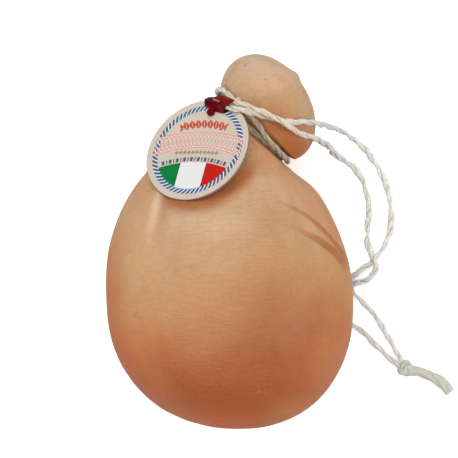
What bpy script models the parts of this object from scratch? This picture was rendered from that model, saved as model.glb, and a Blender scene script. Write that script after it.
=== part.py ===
"""Smoked caciocavallo lying on its side, in metres, +Z up.

A pear-shaped cheese with a small head leaning to one side rests on a small flat spot. Twine goes
twice round the neck. A round card tag leans on the shoulder, fixed by a plastic seal, and the two
strands of the hanging cord run over the head, down to the surface and into a knot beside the body.
The body's bottom points to -Y, its head to +Y and +X. Lengths below are in millimetres.
"""
import math

import bmesh
import bpy
import numpy as np
from mathutils import Matrix, Vector
from mathutils.bvhtree import BVHTree

MM = 0.001
GAP = 0.3

# Body: half superellipses in plan, turned round a nearly level axis.
BODY_RADIUS = 65.5
BODY_CENTRE = (0.0, -29.2)
BODY_HEAD_END = 83.8
BODY_FOOT_END = 69.6
FOOT_SQUARENESS = 2.22
AXIS_LEAN = 0.046
AXIS_HEIGHT = 64.2
AXIS_DIP = 0.06
BODY_RINGS = 22

# Shoulder: rings that turn from the body's axis to the neck's.
SHOULDER_START = math.radians(39.0)
SHOULDER_RINGS = 9
SHOULDER_END_LEFT = (-2.5, -24.2)
SHOULDER_END_RIGHT = (-1.5, 26.0)

# Neck and head, measured along and across the leaning axis of the head, from the neck's centre.
HEAD_LEAN = math.radians(41.3)
NECK_CENTRE = (11.2, 58.5)
NECK_LEFT = -23.3
NECK_RIGHT = 20.6
NECK_FLOOR = (-1.7, 2.9)
HEAD_START = 3.5
HEAD_CENTRE = (14.9, -0.8)
HEAD_RADIUS = 30.2
HEAD_OUTER_HALF = 23.5
HEAD_NECK_HALF = 20.9
HEAD_SKEW = -0.234
HEAD_RINGS = 15
NUB_PLACE = (38.9, -1.0)
NUB_HEIGHT = 1.5
NUB_SPREAD = 2.5
RING_POINTS = 52

# Twine.
# Each turn's place: degrees round the neck from its right side over its upper side, and along.
TWINE = 2.8
TURN_POINTS = 56
LOWER_TURN = ((0, 0.6), (60, 0.5), (90, 0.2), (180, -0.2), (270, 0.2), (360, 0.6))
UPPER_TURN = (
    (0, 0.9), (45, 1.4), (70, 2.2), (90, 4.6), (115, 6.0), (145, 6.6), (170, 4.8), (190, 3.6),
    (270, 3.4), (330, 1.6), (360, 0.9),
)

# Knot that ties the turns, its centre and half sizes.
TIE_KNOT = (3.7, 72.4, 90.5)
TIE_KNOT_HALVES = (2.9, 2.9, 4.9)

# Tag: the middle of its face, its face's direction and its print's upward direction.
TAG_CENTRE = (-16.6, 47.9, 98.6)
TAG_NORMAL = (-0.4325, 0.4676, 0.771)
TAG_UP = (0.240, 0.884, -0.401)
TAG_RADIUS = 29.7
TAG_THICKNESS = 1.2
TAG_HOLE = (1.5, 26.4)
TAG_HOLE_DIAMETER = 3.6

# Seal, in the tag's frame: a box with a flap, a round lug, and a pin with a button behind.
SEAL_TURN = math.radians(-20.6)
SEAL_BODY = (3.6, 25.35, 2.7)
SEAL_BODY_SIZE = (12.6, 4.6, 4.8)
SEAL_FLAP = (11.6, 26.4, 5.2)
SEAL_FLAP_SIZE = (11.0, 4.8, 1.1)
SEAL_FLAP_TURN = math.radians(-30.0)
SEAL_LUG = (2.6, 21.6, 1.4)
SEAL_LUG_SIZE = (4.3, 2.2)
SEAL_PIN_DIAMETER = 2.4
SEAL_BUTTON_SIZE = (4.8, 1.0)
SEAL_BUTTON_Z = -2.1

# Hanging cord: the line of each strand, from the seal over the head to the knot.
STRAND_INNER = (
    (-2.0, 73.8, 94.2), (1.1, 72.9, 96.4), (5.0, 71.9, 97.4), (8.9, 70.9, 97.4),
    (13.1, 69.4, 96.2), (17.3, 67.7, 94.6), (21.5, 65.9, 93.6), (25.1, 63.9, 92.9),
    (28.3, 61.8, 91.8), (31.4, 59.6, 89.2), (34.6, 57.9, 86.2), (37.5, 56.7, 83.0),
    (41.0, 55.5, 78.4), (44.2, 54.5, 71.5), (46.6, 53.7, 63.5), (48.9, 52.8, 52.5),
    (51.6, 51.5, 39.5), (54.2, 49.8, 27.5), (56.7, 47.3, 17.8), (60.0, 44.4, 10.0),
    (64.4, 42.0, 4.6), (68.6, 39.0, 1.9), (73.0, 31.5, 1.45), (75.2, 20.5, 1.45),
    (75.4, 8.0, 1.45), (75.0, -0.5, 2.0), (76.5, -5.7, 4.1), (78.0, -9.2, 4.9),
    (79.0, -12.9, 3.9), (78.3, -17.6, 1.8), (74.5, -21.6, 1.45), (67.8, -23.4, 1.45),
    (63.2, -25.3, 1.45), (59.3, -29.4, 1.45), (58.2, -35.5, 1.45), (61.3, -42.0, 1.45),
    (67.0, -45.8, 1.45), (73.0, -50.0, 1.45), (81.0, -58.0, 1.45), (91.4, -66.9, 1.6),
)
STRAND_OUTER = (
    (-2.3, 70.4, 95.4), (0.9, 69.8, 98.4), (4.0, 69.2, 100.6), (7.2, 68.4, 100.6),
    (10.8, 67.2, 97.8), (14.1, 66.2, 93.4), (17.8, 65.4, 90.4), (22.0, 64.5, 89.8),
    (25.7, 63.7, 89.4), (29.3, 63.1, 88.4), (33.0, 62.7, 86.6), (36.7, 62.6, 83.9),
    (40.5, 62.6, 79.8), (44.0, 62.4, 74.0), (46.8, 62.2, 66.5), (49.4, 61.9, 55.5),
    (52.3, 61.4, 43.0), (55.8, 60.6, 30.0), (59.8, 59.3, 19.0), (64.9, 56.9, 9.5),
    (70.2, 53.0, 3.6), (75.5, 47.2, 1.7), (82.0, 37.5, 1.45), (85.9, 27.5, 1.45),
    (87.4, 16.0, 1.45), (87.3, 6.5, 1.45), (84.0, -2.8, 1.45), (77.5, -10.8, 1.5),
    (73.2, -14.2, 2.4), (69.6, -17.2, 3.9), (66.6, -20.2, 4.8), (65.6, -23.8, 4.9),
    (66.8, -27.2, 3.9), (70.2, -31.0, 2.2), (75.2, -36.2, 1.45), (81.4, -43.6, 1.45),
    (87.0, -53.8, 1.6), (93.4, -65.1, 3.7),
)
STRAND_STEP = 6.0
END_KNOT = (95.4, -69.1, 2.98)
END_KNOT_HALVES = (3.9, 4.3, 2.95)
TAIL = (
    (99.9, -70.3, 2.32), (102.4, -70.5, 2.32), (106.3, -72.0, 2.32), (110.8, -74.1, 2.32),
    (115.2, -76.7, 2.32), (118.2, -80.0, 2.32), (119.9, -82.1, 2.32),
)
TAIL_WIDTH = 4.6


def axis_height(y):
    """Height of the cheese's axis, which dips a little towards the head."""
    return AXIS_HEIGHT - AXIS_DIP * (y - BODY_CENTRE[1])


def head_frame():
    """Directions along and across the head's axis, in plan."""
    along = Vector((math.sin(HEAD_LEAN), math.cos(HEAD_LEAN), 0.0))
    across = Vector((math.cos(HEAD_LEAN), -math.sin(HEAD_LEAN), 0.0))
    return along, across


def neck_point(along, across):
    """A point in plan, from its distances along and across the head's axis."""
    a, c = head_frame()
    return Vector((*NECK_CENTRE, 0.0)) + a * along + c * across


def body_edges(angle):
    """Left and right edge of the body in plan, at an angle from its widest ring."""
    if angle < 0.0:
        power = 2.0 / FOOT_SQUARENESS
        y = BODY_CENTRE[1] - BODY_FOOT_END * abs(math.sin(angle)) ** power
        half = BODY_RADIUS * math.cos(angle) ** power
    else:
        y = BODY_CENTRE[1] + BODY_HEAD_END * math.sin(angle)
        half = BODY_RADIUS * math.cos(angle)
    x = BODY_CENTRE[0] - AXIS_LEAN * (y - BODY_CENTRE[1])
    return Vector((x - half, y, 0.0)), Vector((x + half, y, 0.0))


def bezier(start, start_way, end_way, end, t):
    """A point on the cubic that leaves start along start_way and reaches end along end_way."""
    reach = (end - start).length / 3.0
    b, c = start + start_way * reach, end - end_way * reach
    s = 1.0 - t
    return start * s**3 + b * (3 * s * s * t) + c * (3 * s * t * t) + end * t**3


def shoulder_edges(t):
    """Left and right edge of the shoulder, from the body (t = 0) to the neck (t = 1)."""
    step = math.radians(0.5)
    starts = body_edges(SHOULDER_START)
    ways = [(a - b).normalized() for a, b in zip(starts, body_edges(SHOULDER_START - step))]
    along, across = head_frame()
    ends = neck_point(*SHOULDER_END_LEFT), neck_point(*SHOULDER_END_RIGHT)
    end_ways = (along * 0.98 + across * 0.06).normalized(), (along * 0.02 - across).normalized()
    return [bezier(s, w, v, e, t) for s, w, v, e in zip(starts, ways, end_ways, ends)]


def head_edges(angle):
    """Left and right edge of the head, at an angle from its widest ring."""
    half_length = HEAD_OUTER_HALF if angle > 0.0 else HEAD_NECK_HALF
    rise = half_length * math.sin(angle)
    half = HEAD_RADIUS * math.cos(angle)
    middle = HEAD_CENTRE[1] + HEAD_SKEW * rise
    along = HEAD_CENTRE[0] + rise
    left = min(middle - half, NECK_LEFT - 0.4) if rise < 0.0 else middle - half
    return neck_point(along, left), neck_point(along, middle + half)


def cheese_edges():
    """Every ring's left and right edge, from the body's bottom to the head's top."""
    rings = []
    for i in range(1, BODY_RINGS + 1):
        rings.append(body_edges(-math.pi / 2 + (SHOULDER_START + math.pi / 2) * i / BODY_RINGS))
    for i in range(1, SHOULDER_RINGS + 1):
        rings.append(shoulder_edges(i / SHOULDER_RINGS))
    for along in NECK_FLOOR:
        rings.append((neck_point(along, NECK_LEFT), neck_point(along, NECK_RIGHT)))
    first = math.asin((HEAD_START - HEAD_CENTRE[0]) / HEAD_NECK_HALF)
    for i in range(HEAD_RINGS):
        rings.append(head_edges(first + (math.pi / 2 - first) * i / HEAD_RINGS))
    return rings


def ring_points(left, right):
    """The circle that stands on the line from left to right."""
    middle, half = (left + right) / 2, (right - left) / 2
    middle.z = axis_height(middle.y)
    up = Vector((0.0, 0.0, half.length))
    turns = [2 * math.pi * i / RING_POINTS for i in range(RING_POINTS)]
    return [middle + half * math.cos(a) + up * math.sin(a) for a in turns]


def raise_nub(point):
    """Lifts the skin into the small nub on the head's top."""
    along, across = head_frame()
    place = neck_point(*NUB_PLACE)
    place.z = axis_height(place.y)
    away = point - place
    nearness = math.exp(-(away.length**2) / (2 * NUB_SPREAD**2))
    return point + along * (NUB_HEIGHT * nearness)


def make_collection(name):
    group = bpy.data.collections.new(name)
    bpy.context.scene.collection.children.link(group)
    return group


def make_material(name, color, roughness, metallic=0.0):
    material = bpy.data.materials.new(name)
    material.use_nodes = True
    shader = material.node_tree.nodes["Principled BSDF"]
    shader.inputs["Base Color"].default_value = (*color, 1.0)
    shader.inputs["Roughness"].default_value = roughness
    shader.inputs["Metallic"].default_value = metallic
    return material


def add_object(name, data, material, group):
    obj = bpy.data.objects.new(name, data)
    data.materials.append(material)
    group.objects.link(obj)
    return obj


def mesh_from(bm, name, smooth=True):
    mesh = bpy.data.meshes.new(name)
    bm.to_mesh(mesh)
    bm.free()
    if smooth:
        mesh.shade_smooth()
    return mesh


def cheese_mesh():
    """A loft through the rings, closed at both ends and cut level where it rests."""
    bm = bmesh.new()
    rings = []
    for left, right in cheese_edges():
        rings.append([bm.verts.new(raise_nub(p) * MM) for p in ring_points(left, right)])
    for lower, upper in zip(rings, rings[1:]):
        for i in range(RING_POINTS):
            j = (i + 1) % RING_POINTS
            bm.faces.new((lower[i], lower[j], upper[j], upper[i]))
    foot = body_edges(-math.pi / 2)[0]
    foot.z = axis_height(foot.y)
    top = neck_point(HEAD_CENTRE[0] + HEAD_OUTER_HALF, HEAD_CENTRE[1] + HEAD_SKEW * HEAD_OUTER_HALF)
    top.z = axis_height(top.y)
    for pole, ring in ((foot, rings[0]), (raise_nub(top), rings[-1])):
        end = bm.verts.new(pole * MM)
        for i in range(RING_POINTS):
            bm.faces.new((end, ring[i], ring[(i + 1) % RING_POINTS]))
    bmesh.ops.recalc_face_normals(bm, faces=bm.faces)
    cut = bmesh.ops.bisect_plane(
        bm, geom=bm.verts[:] + bm.edges[:] + bm.faces[:], dist=0.000001,
        plane_co=(0.0, 0.0, 0.0), plane_no=(0.0, 0.0, 1.0), clear_inner=True,
    )
    rim = [e for e in cut["geom_cut"] if isinstance(e, bmesh.types.BMEdge) and e.is_boundary]
    bmesh.ops.edgeloop_fill(bm, edges=rim)
    bmesh.ops.recalc_face_normals(bm, faces=bm.faces)
    return mesh_from(bm, "cheese")


def clear_of(surface, point, clear):
    """Whether a point lies outside the cheese by at least a distance."""
    near, normal, _, distance = surface.find_nearest(point * MM)
    return (point * MM - near).dot(normal) > 0.0 and distance >= clear * MM


def turn_path(surface, route, inner=None):
    """A closed line round the neck, laid as close in as the cheese and an inner turn let it."""
    along, across = head_frame()
    clear = TWINE / 2 + GAP
    angles, places = zip(*route)
    starts, ways, reaches = [], [], []
    for i in range(TURN_POINTS):
        angle = 2 * math.pi * i / TURN_POINTS
        start = neck_point(np.interp(math.degrees(angle), angles, places), 0.0)
        start.z = axis_height(start.y)
        way = across * math.cos(angle) + Vector((0.0, 0.0, math.sin(angle)))
        reach = (inner[i] - start).dot(way) if inner else NECK_RIGHT
        point = start + way * reach
        while not clear_of(surface, point, clear) or any(
            (point - other).length < TWINE + GAP for other in inner or ()
        ):
            reach += 0.1
            point = start + way * reach
        starts.append(start)
        ways.append(way)
        reaches.append(reach)
    near = range(-1, 2)
    outer = [max(reaches[(i + k) % TURN_POINTS] for k in near) for i in range(TURN_POINTS)]
    even = [sum(outer[(i + k) % TURN_POINTS] for k in near) / len(near) for i in range(TURN_POINTS)]
    return [start + way * reach for start, way, reach in zip(starts, ways, even)]


def smooth_line(route, step):
    """Points at even steps along the smooth curve that passes through a route's points."""
    knots = [Vector(p) for p in route]
    knots = [knots[0] * 2 - knots[1], *knots, knots[-1] * 2 - knots[-2]]
    fine = []
    for a, b, c, d in zip(knots, knots[1:], knots[2:], knots[3:]):
        for i in range(20):
            t = i / 20
            bend = (a * 2 - b * 5 + c * 4 - d) * t**2 + (b * 3 - a - c * 3 + d) * t**3
            fine.append(b + ((c - a) * t + bend) / 2)
    fine.append(knots[-2])
    lengths = np.cumsum([0.0] + [(b - a).length for a, b in zip(fine, fine[1:])])
    places = np.linspace(0.0, lengths[-1], round(lengths[-1] / step) + 1)
    columns = [np.interp(places, lengths, [p[k] for p in fine]) for k in range(3)]
    return [Vector(p) for p in zip(*columns)]


def tube(name, points, width, material, group, closed=False):
    """A round tube through the points, with flat ends unless it is closed."""
    curve = bpy.data.curves.new(name, "CURVE")
    curve.dimensions = "3D"
    curve.bevel_depth = width / 2 * MM
    curve.bevel_resolution = 2
    curve.use_fill_caps = not closed
    spline = curve.splines.new("POLY")
    spline.points.add(len(points) - 1)
    for target, point in zip(spline.points, points):
        target.co = (*(Vector(point) * MM), 1.0)
    spline.use_cyclic_u = closed
    return add_object(name, curve, material, group)


def egg(name, centre, halves, material, group):
    """An ellipsoid, for the outer shape of a knot."""
    bm = bmesh.new()
    place = Matrix.Translation(Vector(centre) * MM) @ Matrix.Diagonal((*halves, 1.0))
    bmesh.ops.create_uvsphere(bm, u_segments=20, v_segments=12, radius=MM, matrix=place)
    return add_object(name, mesh_from(bm, name), material, group)


def tag_matrix():
    """The tag's own frame: X to the print's right, Y to its top, Z out of its face."""
    normal = Vector(TAG_NORMAL).normalized()
    up = (Vector(TAG_UP) - normal * Vector(TAG_UP).dot(normal)).normalized()
    right = up.cross(normal)
    turn = Matrix((right, up, normal)).transposed().to_4x4()
    return Matrix.Translation(Vector(TAG_CENTRE) * MM) @ turn


def on_tag(obj, centre, turn=0.0):
    """Puts an object in the tag's frame, turned about the face's direction."""
    obj.matrix_world = tag_matrix() @ Matrix.Translation(Vector(centre) * MM) @ Matrix.Rotation(turn, 4, "Z")


def box_mesh(name, size):
    bm = bmesh.new()
    bmesh.ops.create_cube(bm, size=MM, matrix=Matrix.Diagonal((*size, 1.0)))
    return mesh_from(bm, name, smooth=False)


def disc_mesh(name, diameter, height, segments):
    """A cylinder about Z, with its middle at the origin."""
    bm = bmesh.new()
    bmesh.ops.create_cone(
        bm, cap_ends=True, segments=segments, radius1=diameter / 2 * MM, radius2=diameter / 2 * MM,
        depth=height * MM,
    )
    mesh = mesh_from(bm, name)
    mesh.set_sharp_from_angle(angle=math.radians(40.0))
    return mesh


def add_tool(name, mesh, group):
    """A solid that only cuts or joins another."""
    tool = bpy.data.objects.new(name, mesh)
    group.objects.link(tool)
    tool.hide_render = True
    tool.display_type = "WIRE"
    return tool


def combine(obj, tool, operation):
    modifier = obj.modifiers.new(tool.name, "BOOLEAN")
    modifier.operation = operation
    modifier.object = tool


def build_tag(card, group, tools):
    """The round card, punched near its top."""
    tag = add_object("tag", disc_mesh("tag", TAG_RADIUS * 2, TAG_THICKNESS, 72), card, group)
    on_tag(tag, (0.0, 0.0, -TAG_THICKNESS / 2))
    punch = add_tool("tag_punch", disc_mesh("tag_punch", TAG_HOLE_DIAMETER, TAG_THICKNESS * 3, 20), tools)
    on_tag(punch, (*TAG_HOLE, -TAG_THICKNESS / 2))
    combine(tag, punch, "DIFFERENCE")


def build_seal(plastic, group, tools):
    """The seal: one moulding of box, flap, lug and the pin that holds the card."""
    seal = add_object("seal", box_mesh("seal", SEAL_BODY_SIZE), plastic, group)
    on_tag(seal, SEAL_BODY, SEAL_TURN)
    flap = add_tool("seal_flap", box_mesh("seal_flap", SEAL_FLAP_SIZE), tools)
    on_tag(flap, SEAL_FLAP, SEAL_FLAP_TURN)
    lug = add_tool("seal_lug", disc_mesh("seal_lug", *SEAL_LUG_SIZE, 20), tools)
    on_tag(lug, SEAL_LUG)
    pin_length = SEAL_BODY[2] - SEAL_BUTTON_Z
    pin = add_tool("seal_pin", disc_mesh("seal_pin", SEAL_PIN_DIAMETER, pin_length, 14), tools)
    on_tag(pin, (*TAG_HOLE, SEAL_BUTTON_Z + pin_length / 2))
    button = add_tool("seal_button", disc_mesh("seal_button", *SEAL_BUTTON_SIZE, 18), tools)
    on_tag(button, (*TAG_HOLE, SEAL_BUTTON_Z))
    for tool in (flap, lug, pin, button):
        combine(seal, tool, "UNION")


def build_neck_turns(cheese, twine, group):
    """Two closed turns of twine in the crease of the neck, and the knot that ties them."""
    bm = bmesh.new()
    bm.from_mesh(cheese.data)
    surface = BVHTree.FromBMesh(bm)
    bm.free()
    lower = turn_path(surface, LOWER_TURN)
    upper = turn_path(surface, UPPER_TURN, lower)
    tube("neck_turn_lower", lower, TWINE, twine, group, closed=True)
    tube("neck_turn_upper", upper, TWINE, twine, group, closed=True)
    egg("tie_knot", TIE_KNOT, TIE_KNOT_HALVES, twine, group)


def build_hanging_cord(twine, group):
    """Two strands, the knot that joins them and the doubled tail past it."""
    tube("strand_inner", smooth_line(STRAND_INNER, STRAND_STEP), TWINE, twine, group)
    tube("strand_outer", smooth_line(STRAND_OUTER, STRAND_STEP), TWINE, twine, group)
    egg("end_knot", END_KNOT, END_KNOT_HALVES, twine, group)
    tube("tail", smooth_line(TAIL, STRAND_STEP), TAIL_WIDTH, twine, group)


def main():
    for obj in list(bpy.data.objects):
        bpy.data.objects.remove(obj)
    parts = make_collection("smoked_caciocavallo")
    tools = make_collection("tools")
    cheese = add_object("cheese", cheese_mesh(), make_material("rind", (0.58, 0.31, 0.16), 0.45), parts)
    twine = make_material("twine", (0.72, 0.66, 0.56), 0.85)
    build_neck_turns(cheese, twine, parts)
    build_tag(make_material("card", (0.70, 0.60, 0.50), 0.6), parts, tools)
    build_seal(make_material("plastic", (0.22, 0.01, 0.01), 0.2), parts, tools)
    build_hanging_cord(twine, parts)


main()
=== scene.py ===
"""Looks of a smoked caciocavallo: rind, two-ply twine, printed card tag and plastic seal.

The file is laid out as an add-on and is run as a script. Tables, routes and arrays of points are in
millimetres, which make_mesh turns into metres; settings, lights and materials are in metres. Every
surface is a function of two parameters, worked out as whole numpy arrays.
"""
import math

import bpy
import numpy as np
from bpy.props import FloatProperty, FloatVectorProperty, IntProperty, PointerProperty
from bpy.types import Operator, Panel, PropertyGroup
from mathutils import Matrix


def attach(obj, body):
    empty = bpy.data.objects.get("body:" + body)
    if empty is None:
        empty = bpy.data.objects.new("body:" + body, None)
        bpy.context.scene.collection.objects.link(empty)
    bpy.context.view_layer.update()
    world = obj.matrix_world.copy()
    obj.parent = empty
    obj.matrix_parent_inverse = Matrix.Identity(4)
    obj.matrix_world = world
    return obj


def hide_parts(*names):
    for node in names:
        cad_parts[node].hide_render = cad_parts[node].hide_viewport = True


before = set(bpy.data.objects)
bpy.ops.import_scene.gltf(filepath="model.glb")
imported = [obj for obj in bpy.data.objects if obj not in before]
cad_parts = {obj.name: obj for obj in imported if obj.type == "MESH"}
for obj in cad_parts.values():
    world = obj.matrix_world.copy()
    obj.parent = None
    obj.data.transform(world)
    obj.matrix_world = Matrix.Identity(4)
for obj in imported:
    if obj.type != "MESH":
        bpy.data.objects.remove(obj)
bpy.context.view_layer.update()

bl_info = {
    "name": "Smoked Caciocavallo",
    "version": (1, 0, 0),
    "blender": (4, 5, 0),
    "location": "3D View > Sidebar > Caciocavallo",
    "description": "Adds a smoked caciocavallo with its twine, tag and seal",
    "category": "Add Mesh",
}

MM = 0.001
TAU = 2.0 * math.pi

# Form of the cheese, as in the frame's own solid.
BODY_RADIUS = 65.5
BODY_CENTRE = (0.0, -29.2)
BODY_HEAD_END = 83.8
BODY_FOOT_END = 69.6
FOOT_SQUARENESS = 2.22
AXIS_LEAN = 0.046
AXIS_HEIGHT = 64.2
AXIS_DIP = 0.06
SHOULDER_START = math.radians(39.0)
SHOULDER_END_LEFT = (-2.5, -24.2)
SHOULDER_END_RIGHT = (-1.5, 26.0)
HEAD_LEAN = math.radians(41.3)
NECK_CENTRE = (11.2, 58.5)
NECK_LEFT = -23.3
NECK_RIGHT = 20.6
NECK_FLOOR = (-1.7, 2.9)
HEAD_START = 3.5
HEAD_CENTRE = (14.9, -0.8)
HEAD_RADIUS = 30.2
HEAD_OUTER_HALF = 23.5
HEAD_NECK_HALF = 20.9
HEAD_SKEW = -0.234
NUB_PLACE = (38.9, -1.0)
NUB_HEIGHT = 1.5
NUB_SPREAD = 2.5
BODY_RINGS, SHOULDER_RINGS, HEAD_RINGS = 122, 56, 96
# The head's axis in plan, and the direction across it.
ALONG = np.array([math.sin(HEAD_LEAN), math.cos(HEAD_LEAN)])
ACROSS = np.array([math.cos(HEAD_LEAN), -math.sin(HEAD_LEAN)])

# Marks on the rind, in plan.
HEAD_FOLD = (
    (6.5, 96.6), (5.3, 95.4), (3.2, 93.2), (1.4, 89.5), (-0.5, 85.8), (-2.1, 81.1), (-3.4, 77.0),
)
SHOULDER_RIDGE = (
    (-35.0, 32.0), (-37.0, 22.8), (-38.6, 17.0), (-40.0, 12.0), (-41.3, 6.0), (-42.2, 0.5),
    (-42.8, -3.0),
)
OUTER_MARK = (
    (20.5, 23.2), (26.4, 20.4), (32.1, 17.4), (37.9, 14.8), (43.7, 10.8), (49.7, 5.4), (55.7, -0.9),
    (59.4, -5.2), (62.1, -10.4), (63.6, -15.0),
)
INNER_MARK = (
    (22.0, 10.2), (28.0, 9.0), (32.6, 7.7), (36.3, 5.9), (40.2, 3.7), (45.6, 1.2), (49.7, -1.6),
    (53.5, -4.2), (57.2, -7.4), (60.4, -11.2), (63.0, -16.0),
)
# Each dark line on the flank: its line, depth, width at the start, growth in width, and where it sets in.
FLANK_LINES = ((OUTER_MARK, 0.62, 0.85, 0.6, 0.0), (INNER_MARK, 1.0, 0.75, 1.9, 0.15))
SCUFF = ((12.0, -79.4), (13.6, -78.3), (15.6, -77.7), (17.5, -77.9), (19.4, -78.5), (20.6, -79.6))
# Each pit's place and size.
PITS = ((-49.3, -38.4, 0.7), (-19.5, -13.3, 0.6), (8.5, 92.5, 0.6), (18.9, 84.9, 0.6), (39.5, 79.0, 0.5))
# The oval whose left rim gets painted shade: its middle and halves in plan.
RIM_MIDDLE = (0.0, -30.0)
RIM_HALVES = (63.5, 69.0)
# Broad tints of the rind, partly its own uneven tone and partly painted light and shade: the middle
# and reach in plan, and the colour that multiplies the rind's own.
TONE_AND_LIGHT_TINTS = (
    ((22.0, -37.0), (32.0, 23.0), (0.80, 0.66, 0.58)),
    ((14.0, -15.0), (27.0, 20.0), (0.94, 0.95, 0.94)),
    ((12.0, -58.0), (20.0, 20.0), (0.91, 0.92, 0.88)),
    ((52.0, -62.0), (12.0, 26.0), (1.16, 1.36, 1.38)),
    ((62.0, -44.0), (8.0, 24.0), (1.12, 1.03, 0.88)),
    ((-49.0, -58.0), (19.0, 22.0), (1.12, 0.90, 0.70)),
    ((-36.0, -83.0), (15.0, 11.0), (1.20, 1.18, 0.98)),
    ((-12.0, -95.0), (30.0, 9.0), (1.34, 1.14, 0.66)),
    ((32.0, -89.0), (14.0, 9.0), (1.14, 1.48, 1.45)),
    ((8.0, -82.0), (38.0, 17.0), (0.93, 0.76, 0.56)),
    ((-10.0, 10.0), (24.0, 9.0), (1.05, 1.15, 1.26)),
    ((24.0, 31.0), (16.0, 14.0), (1.07, 1.12, 1.18)),
    ((22.0, 15.0), (13.0, 13.0), (0.94, 0.88, 0.81)),
    ((-48.0, -6.0), (14.0, 34.0), (1.13, 1.11, 1.04)),
    ((-48.0, 30.0), (10.0, 12.0), (1.00, 0.86, 0.70)),
    ((28.0, 88.0), (26.0, 20.0), (1.02, 0.95, 0.84)),
    ((13.0, 91.0), (22.0, 13.0), (1.02, 1.11, 1.27)),
    ((18.0, 72.0), (22.0, 9.0), (0.95, 0.93, 0.87)),
    ((38.0, 50.0), (10.0, 9.0), (1.03, 0.94, 0.76)),
    ((66.0, 2.0), (14.0, 34.0), (1.06, 1.00, 0.84)),
)

# Hanging cord: each strand's line from the seal over the head to the end knot, and its swellings,
# each with its place in plan, its height over the plain twine and its spread.
STRAND_INNER = (
    (-2.0, 73.8, 94.2), (1.1, 72.9, 96.4), (5.0, 71.9, 97.4), (8.9, 70.9, 97.4),
    (13.1, 69.4, 96.2), (17.3, 67.7, 94.6), (21.5, 65.9, 93.6), (25.1, 63.9, 92.9),
    (28.3, 61.8, 91.8), (31.4, 59.6, 89.2), (34.6, 57.9, 86.2), (37.5, 56.7, 83.0),
    (41.0, 55.5, 78.4), (44.2, 54.5, 71.5), (46.6, 53.7, 63.5), (48.9, 52.8, 52.5),
    (51.6, 51.5, 39.5), (54.2, 49.8, 27.5), (56.7, 47.3, 17.8), (60.0, 44.4, 10.0),
    (64.4, 42.0, 4.6), (68.6, 39.0, 1.9), (73.0, 31.5, 1.45), (75.2, 20.5, 1.45),
    (75.4, 8.0, 1.45), (75.0, -0.5, 2.0), (76.5, -5.7, 4.1), (78.0, -9.2, 4.9),
    (79.0, -12.9, 3.9), (78.3, -17.6, 1.8), (74.5, -21.6, 1.45), (67.8, -23.4, 1.45),
    (63.2, -25.3, 1.45), (59.3, -29.4, 1.45), (58.2, -35.5, 1.45), (61.3, -42.0, 1.45),
    (67.0, -45.8, 1.45), (73.0, -50.0, 1.45), (81.0, -58.0, 1.45), (91.4, -66.9, 1.6),
    (94.6, -68.4, 2.4),
)
STRAND_OUTER = (
    (-2.3, 70.4, 95.4), (0.9, 69.8, 98.4), (4.0, 69.2, 100.6), (7.2, 68.4, 100.6),
    (10.8, 67.2, 97.8), (14.1, 66.2, 93.4), (17.8, 65.4, 90.4), (22.0, 64.5, 89.8),
    (25.7, 63.7, 89.4), (29.3, 63.1, 88.4), (33.0, 62.7, 86.6), (36.7, 62.6, 83.9),
    (40.5, 62.6, 79.8), (44.0, 62.4, 74.0), (46.8, 62.2, 66.5), (49.4, 61.9, 55.5),
    (52.3, 61.4, 43.0), (55.8, 60.6, 30.0), (59.8, 59.3, 19.0), (64.9, 56.9, 9.5),
    (70.2, 53.0, 3.6), (75.5, 47.2, 1.7), (82.0, 37.5, 1.45), (85.9, 27.5, 1.45),
    (87.4, 16.0, 1.45), (87.3, 6.5, 1.45), (84.0, -2.8, 1.45), (77.5, -10.8, 1.5),
    (73.2, -14.2, 2.4), (69.6, -17.2, 3.9), (66.6, -20.2, 4.8), (65.6, -23.8, 4.9),
    (66.8, -27.2, 3.9), (70.2, -31.0, 2.2), (75.2, -36.2, 1.45), (81.4, -43.6, 1.45),
    (87.0, -53.8, 1.6), (93.4, -65.1, 3.7), (94.9, -67.9, 3.2),
)
INNER_SWELLINGS = (
    (56.0, 46.0, 0.25, 4.0), (62.7, 41.6, -0.15, 3.0), (70.0, 37.1, 0.22, 4.0), (73.3, 29.5, -0.15, 4.0),
    (76.0, 15.4, 0.12, 5.0), (74.3, 3.5, -0.48, 1.7), (75.4, -2.5, 0.28, 3.5), (67.8, -45.8, -0.25, 4.0),
    (71.0, -49.0, 0.12, 2.5), (77.6, -57.8, 0.20, 4.0), (83.5, -61.0, -0.12, 3.0), (78.0, -56.0, -0.10, 16.0),
)
OUTER_SWELLINGS = (
    (65.0, 58.0, -0.15, 6.0), (74.9, 48.0, 0.22, 5.0), (80.5, 40.5, -0.15, 3.0), (85.2, 31.7, 0.20, 5.0),
    (87.3, 18.7, -0.50, 1.7), (88.4, 9.4, 0.30, 5.0), (81.9, -5.2, -0.18, 3.0), (69.0, -29.5, -0.34, 4.0),
    (74.3, -35.0, 0.08, 3.0), (79.0, -40.5, -0.15, 2.5), (83.0, -46.5, 0.20, 3.0), (88.4, -56.7, -0.15, 4.0),
    (78.0, -40.0, -0.12, 14.0),
)
TAIL_SWELLINGS = ((103.5, -70.8, -0.10, 3.0), (118.5, -80.5, 0.14, 6.0))
END_KNOT = (95.4, -69.1, 2.98)
KNOT_CORE = ((92.6, -66.6, 2.5), (94.6, -68.4, 2.7), (97.6, -70.1, 2.6))
TIE_KNOT = (3.7, 72.4, 90.5)
TAIL = (
    (95.6, -69.2, 2.5), (97.6, -69.9, 2.4), (99.9, -70.3, 2.32), (102.4, -70.5, 2.32),
    (106.3, -72.0, 2.32), (110.8, -74.1, 2.32), (115.2, -76.7, 2.32), (118.2, -80.0, 2.32),
    (119.9, -82.1, 2.32),
)
TAIL_WIDTH, TAIL_LAY = 5.7, 70.0
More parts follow.
